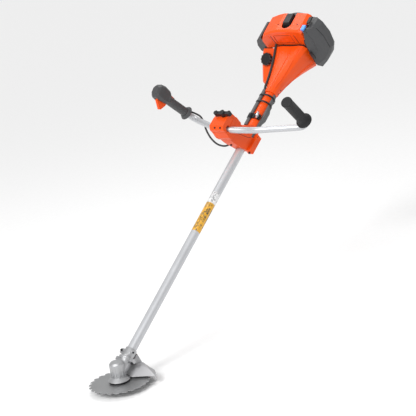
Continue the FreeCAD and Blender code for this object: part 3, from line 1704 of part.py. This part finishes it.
def main():
    for builder in BUILDERS:
        builder()
    doc.recompute()
    check_document()
    os.makedirs("parts", exist_ok=True)
    for piece in nodes:
        piece.Shape.exportStep(f"parts/{piece.Label}.step")
    print(len(nodes), "nodes written")


main()
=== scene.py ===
import json
import math

import bmesh
import bpy
from mathutils import Matrix, Vector
from mathutils.bvhtree import BVHTree


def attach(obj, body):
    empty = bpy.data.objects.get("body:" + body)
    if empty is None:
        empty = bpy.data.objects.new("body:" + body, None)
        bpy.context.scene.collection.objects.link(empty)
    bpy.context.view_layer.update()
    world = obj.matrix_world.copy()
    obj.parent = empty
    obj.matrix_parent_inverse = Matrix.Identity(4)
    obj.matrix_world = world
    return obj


# Looks of the brush cutter. Lengths are in metres in the part's own frame; places on the shaft are in
# millimetres in the shaft's axes: along the shaft, sideways, and away from the ground side.
MM = 0.001
TILT = math.radians(37)
APEX = Vector((0, 0, 0.0542))
ALONG = Vector((math.cos(TILT), 0, math.sin(TILT)))
SIDE = Vector((0, 1, 0))
RAISED = Vector((-math.sin(TILT), 0, math.cos(TILT)))
UP = Vector((0, 0, 1))
# how far across a route starts that is cast onto the machine's plain side
FAR_SIDE = -300

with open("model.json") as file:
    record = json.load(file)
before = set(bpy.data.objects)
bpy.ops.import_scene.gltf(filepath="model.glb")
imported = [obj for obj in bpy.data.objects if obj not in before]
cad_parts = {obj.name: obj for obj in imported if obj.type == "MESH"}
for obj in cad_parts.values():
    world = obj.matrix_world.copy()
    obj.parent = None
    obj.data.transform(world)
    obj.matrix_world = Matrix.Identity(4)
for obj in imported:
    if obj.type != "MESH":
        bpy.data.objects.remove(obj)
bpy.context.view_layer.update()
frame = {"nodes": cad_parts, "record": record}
nodes = frame["nodes"]


def shaft(along, across, raised):
    """A point given in the shaft's axes, in the part's frame."""
    return APEX + (ALONG * along + Vector((0, across, 0)) + RAISED * raised) * MM


# ---- Materials ---------------------------------------------------------------------------------

# a noise's values lie mostly between these two
NOISE_LOW, NOISE_HIGH = 0.3, 0.7
SHADER_INPUTS = {
    "colour": "Base Color",
    "roughness": "Roughness",
    "metal": "Metallic",
    "normal": "Normal",
    "coat": "Coat Weight",
    "coat_roughness": "Coat Roughness",
    "grain": "Anisotropic",
    "shine": "Specular IOR Level",
}


class Nodes:
    """Builds one material's node tree."""

    def __init__(self, name):
        self.material = bpy.data.materials.new(name)
        self.material.use_nodes = True
        self.tree = self.material.node_tree
        self.shader = self.tree.nodes["Principled BSDF"]
        self.place = self.tree.nodes.new("ShaderNodeTexCoord").outputs["Object"]

    def add(self, kind, inputs=(), **settings):
        """A node, with its inputs linked or set and its own settings made."""
        node = self.tree.nodes.new("ShaderNode" + kind)
        for key, value in settings.items():
            setattr(node, key, value)
        for key, value in dict(inputs).items():
            if isinstance(value, bpy.types.NodeSocket):
                self.tree.links.new(value, node.inputs[key])
            else:
                node.inputs[key].default_value = value
        return node

    def stretched(self, scale, turn=(0, 0, 0)):
        """The object's coordinates, turned and then scaled along each axis."""
        turned = self.add("Mapping", {"Vector": self.place, "Rotation": turn})
        return self.add("Mapping", {"Vector": turned.outputs[0], "Scale": scale}).outputs[0]

    def noise(self, scale, detail=3.0, vector=None, roughness=0.5):
        """Noise with about scale blots to the metre."""
        inputs = {"Vector": vector or self.place, "Scale": scale, "Detail": detail, "Roughness": roughness}
        return self.add("TexNoise", inputs).outputs["Fac"]

    def between(self, fac, low, high):
        """A value that runs from low to high with a factor."""
        inputs = {"Value": fac, "From Min": NOISE_LOW, "From Max": NOISE_HIGH, "To Min": low, "To Max": high}
        return self.add("MapRange", inputs).outputs[0]

    def colours(self, fac, low, high):
        """A colour that runs from low to high with a factor."""
        ramp = self.add("ValToRGB", {"Fac": fac})
        ends = ramp.color_ramp.elements
        ends[0].position, ends[0].color = NOISE_LOW, (*low, 1)
        ends[1].position, ends[1].color = NOISE_HIGH, (*high, 1)
        return ramp.outputs[0]

    def mixed(self, fac, first, second):
        """A blend of two colours."""
        mix = self.add("Mix", data_type="RGBA")
        for socket, value in ((mix.inputs[0], fac), (mix.inputs[6], first), (mix.inputs[7], second)):
            if isinstance(value, bpy.types.NodeSocket):
                self.tree.links.new(value, socket)
            else:
                socket.default_value = value
        return mix.outputs[2]

    def bump(self, height, strength, distance, under=None):
        """A normal that follows a height, laid over another normal."""
        inputs = {"Height": height, "Strength": strength, "Distance": distance}
        if under:
            inputs["Normal"] = under
        return self.add("Bump", inputs).outputs[0]

    def give(self, **inputs):
        """The finished material, with these values at its shader."""
        for key, value in inputs.items():
            socket = self.shader.inputs[SHADER_INPUTS[key]]
            if isinstance(value, bpy.types.NodeSocket):
                self.tree.links.new(value, socket)
            else:
                socket.default_value = value
        return self.material


def shade(colour, factor):
    """A colour made lighter or darker."""
    return tuple(min(1, part * factor) for part in colour)


def moulded(name, colour, rough, grain=2500, depth=0.00003, coat=0.0, dust=0.12, shine=0.5):
    """Moulded plastic or powder coat: fine surface grain, slow colour drift and a little dust.

    grain is in blots to the metre, depth in metres, and dust and shine are shares.
    """
    made = Nodes(name)
    drift = made.colours(made.noise(9, 4), shade(colour, 0.93), shade(colour, 1.05))
    grime = made.between(made.noise(38, 8, roughness=0.7), 0.0, dust)
    grey = (*(0.35 * part + 0.09 for part in colour), 1)
    tint = made.mixed(grime, drift, grey)
    fine = made.noise(grain, 2)
    waves = made.bump(made.noise(22, 2), 0.12, 0.0012)
    return made.give(
        colour=tint,
        roughness=made.between(made.noise(60, 5), rough - 0.05, rough + 0.07),
        normal=made.bump(fine, 0.35, depth, waves),
        coat=coat,
        coat_roughness=0.12,
        shine=shine,
    )


def drawn_metal(name, colour, rough, along_shaft=True):
    """Drawn or ground metal, with hair lines along its length."""
    made = Nodes(name)
    turn = (0, TILT, 0) if along_shaft else (0, 0, 0)
    lines = made.noise(1.0, 3, made.stretched((14, 1800, 1800), turn))
    blotch = made.noise(16, 6, roughness=0.65)
    tint = made.mixed(0.35, made.colours(lines, shade(colour, 0.93), shade(colour, 1.04)),
                      made.colours(blotch, shade(colour, 0.88), colour))
    return made.give(
        colour=tint,
        metal=0.5,
        roughness=made.between(blotch, rough - 0.04, rough + 0.08),
        normal=made.bump(lines, 0.25, 0.00003),
        grain=0.3,
    )


def cast_metal(name, colour, rough, grain=700):
    """Sand-cast alloy: pebbled skin, darker in its low places."""
    made = Nodes(name)
    pebble = made.noise(grain, 4, roughness=0.6)
    drift = made.noise(34, 6, roughness=0.6)
    tint = made.mixed(0.5, made.colours(pebble, shade(colour, 0.8), shade(colour, 1.05)),
                      made.colours(drift, shade(colour, 0.82), shade(colour, 1.05)))
    return made.give(
        colour=tint,
        metal=0.75,
        roughness=made.between(drift, rough - 0.06, rough + 0.12),
        normal=made.bump(pebble, 0.4, 0.00018),
    )


def turned_metal(name, colour, rough):
    """Turned or plated steel: rings about the arbor and small stains."""
    made = Nodes(name)
    rings = made.noise(1.0, 3, made.stretched((30, 30, 2600)))
    stains = made.noise(90, 8, roughness=0.7)
    tint = made.mixed(0.5, made.colours(rings, shade(colour, 0.88), shade(colour, 1.05)),
                      made.colours(stains, shade(colour, 0.75), shade(colour, 1.05)))
    return made.give(
        colour=tint,
        metal=0.9,
        roughness=made.between(stains, rough - 0.05, rough + 0.12),
        normal=made.bump(rings, 0.2, 0.00003),
    )


def ribbed_rubber(name, colour, pitch, height):
    """Rubber with rings a pitch apart along the shaft, both in metres."""
    made = Nodes(name)
    vector = made.stretched((1, 1, 1), (0, TILT, 0))
    # the wave texture has one band per pi / 10 at scale 1
    scale = math.pi / (10 * pitch)
    inputs = {"Vector": vector, "Scale": scale, "Distortion": 0.0}
    ribs = made.add("TexWave", inputs, bands_direction="X", wave_profile="SIN").outputs["Fac"]
    dust = made.noise(110, 6, roughness=0.7)
    tint = made.mixed(made.between(dust, 0, 0.25), (*colour, 1), (*(part + 0.06 for part in colour), 1))
    fine = made.bump(made.noise(1900, 2), 0.3, 0.00005)
    return made.give(
        colour=tint,
        roughness=made.between(dust, 0.55, 0.72),
        normal=made.bump(ribs, 0.8, height, fine),
    )


def ground_blade(name, colour):
    """Saw steel: circular grinding marks about the arbor and faint heat stains."""
    made = Nodes(name)
    split = made.add("SeparateXYZ", {"Vector": made.place}).outputs
    square = made.add("Math", {0: split[0], 1: split[0]}, operation="MULTIPLY").outputs[0]
    both = made.add("Math", {0: split[1], 1: split[1], 2: square}, operation="MULTIPLY_ADD").outputs[0]
    radius = made.add("Math", {0: both}, operation="SQRT").outputs[0]
    ring = made.add("CombineXYZ", {"X": radius}).outputs[0]
    marks = made.noise(900, 4, ring)
    blotch = made.noise(26, 7, roughness=0.65)
    tint = made.mixed(0.4, made.colours(marks, shade(colour, 0.85), shade(colour, 1.08)),
                      made.colours(blotch, shade(colour, 0.8), colour))
    return made.give(
        colour=tint,
        metal=0.8,
        roughness=made.between(blotch, 0.36, 0.5),
        normal=made.bump(marks, 0.35, 0.00006),
    )


def label_film(name, colour, ink, rows):
    """Printed film with plain marks: rows of short bars, no writing."""
    made = Nodes(name)
    vector = made.stretched((1, 1, 1), (0, TILT, 0))
    inputs = {"Vector": vector, "Scale": rows, "Color1": (*ink, 1), "Color2": (*colour, 1)}
    inputs |= {"Mortar": (*colour, 1), "Mortar Size": 0.035, "Brick Width": 0.9, "Row Height": 0.42}
    marks = made.add("TexBrick", inputs, offset=0.37).outputs["Color"]
    dust = made.noise(120, 5)
    tint = made.mixed(made.between(dust, 0, 0.12), marks, (0.5, 0.5, 0.5, 1))
    return made.give(colour=tint, roughness=made.between(dust, 0.25, 0.4), coat=0.3, coat_roughness=0.2)


def pleated_felt(name, colour):
    """Filter felt: soft fibres."""
    made = Nodes(name)
    fibre = made.noise(900, 6, roughness=0.7)
    tint = made.colours(fibre, shade(colour, 0.7), colour)
    return made.give(colour=tint, roughness=0.95, normal=made.bump(fibre, 0.6, 0.0003))


ORANGE = (0.84, 0.080, 0.0015)
# moulded: colour, roughness, grain, depth, coat, dust, shine; the metals: colour, roughness
materials = {
    "orange_shell": moulded("orange_shell", ORANGE, 0.36, 1800, 0.00002, 0.12, 0.03, 0.3),
    "orange_metal": moulded("orange_metal", ORANGE, 0.42, 1300, 0.00005, 0.05, 0.04, 0.3),
    "orange_control": moulded("orange_control", ORANGE, 0.42, 1500, 0.00004, 0.0, 0.08, 0.3),
    "red_switch": moulded("red_switch", (0.70, 0.035, 0.015), 0.32, 1800, 0.00002, 0.2),
    "blue_lever": moulded("blue_lever", (0.05, 0.34, 0.92), 0.3, 1800, 0.00002, 0.2),
    "black_plastic": moulded("black_plastic", (0.010, 0.0105, 0.012), 0.40, 1500, 0.00006, 0.0, 0.04, 0.35),
    "dark_plastic": moulded("dark_plastic", (0.052, 0.053, 0.056), 0.42, 1300, 0.00008, 0.0, 0.06),
    "guard_metal": moulded("guard_metal", (0.40, 0.40, 0.41), 0.42, 900, 0.00008, 0.1),
    "cast_grey": cast_metal("cast_grey", (0.50, 0.505, 0.515), 0.38),
    "tube_silver": drawn_metal("tube_silver", (0.58, 0.59, 0.61), 0.4),
    "bar_alloy": drawn_metal("bar_alloy", (0.56, 0.57, 0.59), 0.4, False),
    "blade_steel": ground_blade("blade_steel", (0.42, 0.425, 0.43)),
    "bright_steel": turned_metal("bright_steel", (0.60, 0.61, 0.63), 0.3),
    "dark_steel": turned_metal("dark_steel", (0.055, 0.055, 0.06), 0.4),
    "fin_alloy": cast_metal("fin_alloy", (0.55, 0.56, 0.57), 0.5, 900),
    "silencer_steel": turned_metal("silencer_steel", (0.33, 0.31, 0.29), 0.45),
    "grip_rubber": moulded("grip_rubber", (0.014, 0.0145, 0.016), 0.55, 900, 0.00016, 0.0, 0.04, 0.3),
    "pad_foam": moulded("pad_foam", (0.11, 0.112, 0.115), 0.7, 700, 0.00018),
    "hose_grey": ribbed_rubber("hose_grey", (0.10, 0.102, 0.105), 0.004, 0.0002),
    "cable_black": ribbed_rubber("cable_black", (0.018, 0.018, 0.019), 0.0045, 0.0012),
    "filter_felt": pleated_felt("filter_felt", (0.75, 0.70, 0.55)),
    "bush_rubber": moulded("bush_rubber", (0.05, 0.05, 0.05), 0.6, 1200),
    "eye_alloy": turned_metal("eye_alloy", (0.72, 0.73, 0.75), 0.22),
}
seam_shadow = moulded("seam_shadow", (0.15, 0.008, 0.001), 0.6, 1800, 0.00002, 0.0, 0.02)
yellow_film = label_film("yellow_film", (0.84, 0.42, 0.0), (0.10, 0.07, 0.02), 95)
white_film = label_film("white_film", (0.80, 0.80, 0.80), (0.20, 0.20, 0.21), 120)

for entry in frame["record"]["subparts"]:
    data = nodes[entry["node"]].data
    data.materials.clear()
    data.materials.append(materials[entry["material_slot"]])


# ---- Softened edges of the carried-over pieces ---------------------------------------------------

WELD_DISTANCE = 0.00001
SHARP_ANGLE = math.radians(24)
# edge radius in millimetres of the pieces whose edges are seen; the rest stay crisp
EDGES = {
    "clutch_cover": 3.0,
    "clutch_undercover": 2.0,
    "top_cover": 3.0,
    "filter_cover": 5.0,
    "filter_base": 1.0,
    "silencer_guard": 2.0,
    "fuel_tank": 3.0,
    "fuel_cap": 1.0,
    "starter_housing": 3.0,
    "starter_grip": 1.0,
    "plug_cap": 2.2,
    "crankcase": 1.5,
    "handle_shell_outer": 2.6,
    "handle_shell_inner": 2.6,
    "throttle_trigger": 1.6,
    "throttle_lock": 1.2,
    "stop_switch": 1.2,
    "bracket_lower": 2.5,
    "bracket_upper": 2.5,
    "bar_clamp_base": 2.5,
    "bar_clamp_cap": 3.5,
    "wing_knob": 2.0,
    "right_grip": 1.5,
    "hip_pad": 2.2,
    "harness_clamp": 1.0,
    "harness_eye": 1.0,
    "cable_clips": 0.5,
    "gear_housing": 1.6,
    "housing_clamp": 1.4,
    "blade_guard": 1.4,
    "choke_lever": 1.2,
    "upper_latch": 1.0,
    "lower_latch": 1.0,
    "support_flange": 0.8,
    "drive_disc": 0.5,
    "blade_nut": 0.5,
    "saw_blade": 0.3,
}


def soften(piece, radius):
    """Joins a piece's split corners and rounds its sharp edges, with hardened normals beside the rounds."""
    weld = piece.modifiers.new("weld", "WELD")
    weld.merge_threshold = WELD_DISTANCE
    bevel = piece.modifiers.new("edges", "BEVEL")
    bevel.width = radius * MM
    bevel.segments = 3
    bevel.limit_method = "ANGLE"
    bevel.angle_limit = SHARP_ANGLE
    bevel.use_clamp_overlap = True
    bevel.harden_normals = True


for name, radius in EDGES.items():
    soften(nodes[name], radius)


# ---- Pieces made here ----------------------------------------------------------------------------


def wall(made, low, high):
    """Faces between two closed rows of points."""
    for step in range(len(low)):
        after = (step + 1) % len(low)
        made.faces.new((low[step], low[after], high[after], high[step]))


def piece_from(name, made, body, material, smooth=True):
    """A finished piece that rides on a CAD body."""
    bmesh.ops.recalc_face_normals(made, faces=made.faces)
    mesh = bpy.data.meshes.new(name)
    made.to_mesh(mesh)
    made.free()
    mesh.materials.append(material)
    piece = bpy.data.objects.new(name, mesh)
    bpy.context.scene.collection.objects.link(piece)
    for face in mesh.polygons:
        face.use_smooth = smooth
    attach(piece, body)
    return piece


def lathe(name, rings, place, axis, body, material, count=64):
    """A turned skin: rings are (along, radius) in millimetres from place along axis."""
    made = bmesh.new()
    turn = axis.to_track_quat("Z", "X").to_matrix()
    rows = []
    for along, radius in rings:
        row = []
        for step in range(count):
            angle = math.tau * step / count
            local = Vector((radius * math.cos(angle), radius * math.sin(angle), along)) * MM
            row.append(made.verts.new(place + turn @ local))
        rows.append(row)
    for low, high in zip(rows, rows[1:]):
        wall(made, low, high)
    piece_from(name, made, body, material)


def plate(name, outline, base, thick, across, up, body, material, radius):
    """A raised plate: outline is (across, up) in millimetres about base, and it faces across x up."""
    made = bmesh.new()
    facing = across.cross(up).normalized()
    low = [made.verts.new(base + (across * x + up * y) * MM) for x, y in outline]
    high = [made.verts.new(vert.co + facing * thick * MM) for vert in low]
    made.faces.new(low[::-1])
    made.faces.new(high)
    wall(made, low, high)
    soften(piece_from(name, made, body, material, False), radius)


def rounded_rectangle(width, height, radius, steps=5):
    """Outline points about the middle, steps to a corner."""
    points = []
    for corner in range(4):
        sign_x = 1 if corner in (0, 3) else -1
        sign_y = 1 if corner in (0, 1) else -1
        for step in range(steps + 1):
            angle = math.pi / 2 * (corner + step / steps)
            x = sign_x * (width / 2 - radius) + radius * math.cos(angle)
            y = sign_y * (height / 2 - radius) + radius * math.sin(angle)
            points.append((x, y))
    return points


TUBE_RADIUS = 17.5
# radius of a label's rim and of its face, and the width of its sloping edge, in millimetres
LABEL_RIM = TUBE_RADIUS + 0.02
LABEL_FACE = TUBE_RADIUS + 0.14
LABEL_BEVEL = 0.3


def build_labels():
    """Two films round the tube, with plain marks."""
    for name, start, end, film in (
        ("yellow_label", 631, 764, yellow_film),
        ("white_label", 764.5, 815, white_film),
    ):
        rings = [
            (start, LABEL_RIM),
            (start + LABEL_BEVEL, LABEL_FACE),
            (end - LABEL_BEVEL, LABEL_FACE),
            (end, LABEL_RIM),
        ]
        lathe(name, rings, APEX, ALONG, "machine", film)


skins = {}


def skin_of(node):
    """Search tree of a CAD node's surface."""
    if node not in skins:
        mesh = nodes[node].data
        corners = [vert.co for vert in mesh.vertices]
        skins[node] = BVHTree.FromPolygons(corners, [face.vertices for face in mesh.polygons])
    return skins[node]


# distance between a bead's sections, and how deep its edges sit in the node, in millimetres
BEAD_STEP = 2.5
BEAD_ROOT = 0.4
# an open bead's section at its very end, and what each section further in adds
BEAD_TIP = 0.35
BEAD_GROWTH = 0.3


def bead(name, node, route, toward, width, height, material, closed=False, ends=1.0):
    """A raised line on a CAD node: the route, in the part's frame, is laid on the node along toward.

    width and height are in millimetres, and a larger ends gives longer tapers.
    """
    stops = route + [route[0]] if closed else route
    points = []
    for start, end in zip(stops, stops[1:]):
        count = max(2, round((end - start).length / (BEAD_STEP * MM)))
        points += [start.lerp(end, step / count) for step in range(count)]
    if not closed:
        points.append(stops[-1])
    hits = []
    for point in points:
        place, normal, _, _ = skin_of(node).ray_cast(point, toward)
        if place is not None:
            if normal.dot(toward) > 0:
                normal = -normal
            hits.append((place, normal))
    made = bmesh.new()
    rows = []
    last = len(hits) - 1
    for index, (place, normal) in enumerate(hits):
        before = hits[index - 1][0] if closed or index > 0 else place
        after = hits[(index + 1) % len(hits)][0] if closed or index < last else place
        across = (after - before).cross(normal).normalized()
        taper = 1.0
        if not closed:
            taper = min(1.0, (BEAD_TIP + min(index, last - index) * BEAD_GROWTH) / ends)
        half = width * taper * MM / 2
        lift = height * taper * MM
        profile = (
            (-half, -BEAD_ROOT * MM),
            (-half * 0.92, lift * 0.55),
            (-half * 0.55, lift),
            (half * 0.55, lift),
            (half * 0.92, lift * 0.55),
            (half, -BEAD_ROOT * MM),
        )
        rows.append([made.verts.new(place + across * x + normal * z) for x, z in profile])
    pairs = list(zip(rows, rows[1:]))
    if closed:
        pairs.append((rows[-1], rows[0]))
    for low, high in pairs:
        wall(made, low, high)
    if not closed:
        made.faces.new(rows[0])
        made.faces.new(rows[-1][::-1])
    piece_from(name, made, "machine", material)


def build_bracket_seams():
    """Shadow lines of the bracket's parting, on both of its halves."""
    places = ((1050, 88), (1066, 50), (1080, 20), (1100, -6), (1112, -20))
    line = [shaft(along, FAR_SIDE, raised) for along, raised in places]
    for node in ("bracket_lower", "bracket_upper"):
        bead(f"{node}_seam", node, line, SIDE, 2.2, 0.4, seam_shadow)


# place on the shaft just before the top cover's front wall, and the panel's middle across it
FRONT_START = 1500
PANEL_MIDDLE = 8


def build_front_panel():
    """Framed panel, oval and ribs of the top cover's front wall, with painted shade: a shadow line inside
    the frame, dark lines for the grooves and black marks for the slots.
    """
    orange, black = materials["orange_shell"], materials["black_plastic"]
    # name, width, height, corner radius and middle of the line; width, height and material of the bead
    for name, wide, high, radius, middle, width, height, material in (
        ("panel_frame", 92, 50, 7, 73, 3.4, 1.5, orange),
        ("panel_shadow", 86, 44, 5, 73, 2.4, 0.3, seam_shadow),
        ("panel_oval", 36, 12, 5.8, 62, 2.6, 1.2, orange),
    ):
        outline = rounded_rectangle(wide, high, radius)
        line = [shaft(FRONT_START, PANEL_MIDDLE + x, middle + z) for x, z in outline]
        bead(name, "top_cover", line, ALONG, width, height, material, True)
    for index, across in enumerate((-62, 78)):
        line = [shaft(FRONT_START, across, 96), shaft(FRONT_START, across - 3, 46)]
        bead(f"front_rib_{index}", "top_cover", line, ALONG, 3.6, 1.6, orange)
    # dark seam_shadow lines stand where the grooves' shade falls: painted shade
    for index, across in enumerate((-52, 68)):
        line = [shaft(FRONT_START, across, 94), shaft(FRONT_START, across - 3, 48)]
        bead(f"front_groove_shade_{index}", "top_cover", line, ALONG, 4.4, 0.4, seam_shadow)
    # black marks stand for the slots' openings: painted shade inside them
    for index, across in enumerate((-54, 30, 58)):
        line = [shaft(FRONT_START, across - 4, 43), shaft(FRONT_START, across + 4, 43)]
        bead(f"front_slot_shade_{index}", "top_cover", line, ALONG, 4.0, 0.5, black)


def build_funnel_lines():
    """Ridges along the clutch cover's flanks and the raised lip along its parting line."""
    orange = materials["orange_shell"]
    ridges = (
        ((1316, -6, 90), (1400, -12, 90), (1530, -22, 90)),
        ((1330, -20, 90), (1420, -40, 90), (1532, -62, 90)),
        ((1330, 12, 90), (1420, 24, 90), (1530, 40, 90)),
    )
    for index, route in enumerate(ridges):
        line = [shaft(*point) for point in route]
        name = f"funnel_ridge_{index}"
        bead(name, "clutch_cover", line, -RAISED, 5.0, 1.7, orange, ends=2.2)
    for name, side in (("plain", -1), ("throttle", 1)):
        # the parting line falls away from the shaft by a ninth of its length
        line = [shaft(place, side * 140, -20.2 - (place - 1290) / 9) for place in (1322, 1400, 1470, 1534)]
        bead(f"parting_lip_{name}", "clutch_cover", line, SIDE * -side, 4.0, 2.2, orange)


def build_filter_lines():
    """A rib down the filter cover's front band, and a black line beside it painted as a groove's shade."""
    route = [shaft(1554, FAR_SIDE, 92), shaft(1541, FAR_SIDE, 2)]
    bead("filter_rib", "filter_cover", route, SIDE, 3.0, 1.4, materials["dark_plastic"])
    # a black line where the groove's shade falls on the cover: painted shade
    route = [shaft(1588, FAR_SIDE, 92), shaft(1578, FAR_SIDE, -18)]
    bead("filter_groove_shade", "filter_cover", route, SIDE, 2.6, 0.4, materials["black_plastic"])


def build_dome_flutes():
    """Upright flutes round the gear housing's dome, left out where the shaft enters it."""
    cast = materials["cast_grey"]
    root, first_angle, pitch = 25.4, 70, 27.5
    outline = [(-2.4, 47), (2.4, 47), (2.0, 84), (0.9, 92), (-0.9, 92), (-2.0, 84)]
    for step in range(9):
        angle = math.radians(first_angle + pitch * step)
        out = Vector((math.cos(angle), math.sin(angle), 0))
        across = Vector((-math.sin(angle), math.cos(angle), 0))
        base = out * root * MM
        plate(f"dome_flute_{step}", outline, base, 3.0, across, UP, "machine", cast, 1.2)


def build_cap_lobes():
    """Finger lobes round the fuel cap's rim, in a grey lighter than the black cap: painted highlight on the
    grips.
    """
    dark = materials["dark_plastic"]
    centre = shaft(1513, 122, -6)
    axis = (ALONG * -0.571 + RAISED * 0.821).normalized()
    rim, lobes = 24.2, 12
    outline = [(-3.2, 4.5), (3.2, 4.5), (2.6, 15), (1.6, 17), (-1.6, 17), (-2.6, 15)]
    for step in range(lobes):
        angle = math.tau * step / lobes
        out = SIDE * math.cos(angle) + axis.cross(SIDE) * math.sin(angle)
        base = centre + out * rim * MM
        across = axis.cross(out)
        plate(f"cap_lobe_{step}", outline, base, 2.6, across, axis, "tank_cap", dark, 0.9)


def build_cable_boot():
    """Rubber boot where the throttle cable leaves the handle's flange."""
    # the cable's end in the flange, and its direction there
    start = Vector((0.88190, 0.30287, 0.82027))
    axis = Vector((0.751090, -0.085090, -0.654694))
    rings = [
        (-1, 6.4),
        (2, 6.6),
        (4, 6.0),
        (5, 5.2),
        (6.5, 5.6),
        (8, 4.9),
        (9.5, 5.2),
        (11, 4.4),
        (15, 3.9),
        (15.4, 3.1),
    ]
    lathe("cable_boot", rings, start, axis, "machine", materials["grip_rubber"], 32)


build_labels()
build_bracket_seams()
build_front_panel()
build_funnel_lines()
build_filter_lines()
build_dome_flutes()
build_cap_lobes()
build_cable_boot()


# ---- Stage ---------------------------------------------------------------------------------------


FLOOR_SIZE = 60
FLOOR_LEVEL = -0.002
WORLD_STRENGTH = 0.55
LIGHTS_AIM = Vector((0.7, 0, 0.6))
CAMERA_LENS = 112.5
CAMERA_SENSOR = 36
# the photograph's camera: its place, and the directions of its picture's right and upper edges
CAMERA_PLACE = (-2.907983, -3.335090, 1.724220)
CAMERA_RIGHT = Vector((0.65541625, -0.74113628, -0.14541854))
CAMERA_UP = Vector((0.2785455, 0.05823068, 0.95865614))


def build_floor():
    """Plain pale floor."""
    made = Nodes("floor")
    speck = made.noise(40, 4)
    made.give(colour=made.colours(speck, (0.95, 0.95, 0.95), (0.97, 0.97, 0.97)), roughness=0.9)
    bpy.ops.mesh.primitive_plane_add(size=FLOOR_SIZE, location=(LIGHTS_AIM.x, 0, FLOOR_LEVEL))
    floor = bpy.context.object
    floor.name = "floor"
    floor.data.materials.append(made.material)


def build_lights():
    """White surroundings, a soft sun and two soft lamps."""
    world = bpy.data.worlds.new("studio")
    bpy.context.scene.world = world
    world.use_nodes = True
    surroundings = world.node_tree.nodes["Background"].inputs
    surroundings["Color"].default_value = (1, 1, 1, 1)
    surroundings["Strength"].default_value = WORLD_STRENGTH
    bpy.context.scene.view_settings.view_transform = "Standard"
    # name, kind, place, width in metres or spread in radians, strength
    lights = (
        ("sun", "SUN", (-2.6, -0.4, 3.4), 0.35, 1.75),
        ("key", "AREA", (-1.6, -1.4, 2.6), 1.0, 22),
        ("top", "AREA", (1.4, 0.8, 3.0), 1.6, 20),
    )
    for name, kind, place, width, power in lights:
        data = bpy.data.lights.new(name, kind)
        if kind == "SUN":
            data.angle = width
        else:
            data.size = width
        data.energy = power
        lamp = bpy.data.objects.new(name, data)
        lamp.location = place
        aim = LIGHTS_AIM - Vector(place)
        lamp.rotation_mode = "QUATERNION"
        lamp.rotation_quaternion = aim.to_track_quat("-Z", "Y")
        bpy.context.scene.collection.objects.link(lamp)


def build_camera():
    """Camera at the photograph's angle."""
    camera_data = bpy.data.cameras.new("camera")
    camera_data.lens = CAMERA_LENS
    camera_data.sensor_width = CAMERA_SENSOR
    camera = bpy.data.objects.new("camera", camera_data)
    back = CAMERA_RIGHT.cross(CAMERA_UP)
    turn = Matrix((CAMERA_RIGHT, CAMERA_UP, back)).transposed().to_4x4()
    camera.matrix_world = Matrix.Translation(CAMERA_PLACE) @ turn
    bpy.context.scene.collection.objects.link(camera)
    bpy.context.scene.camera = camera


build_floor()
build_lights()
build_camera()
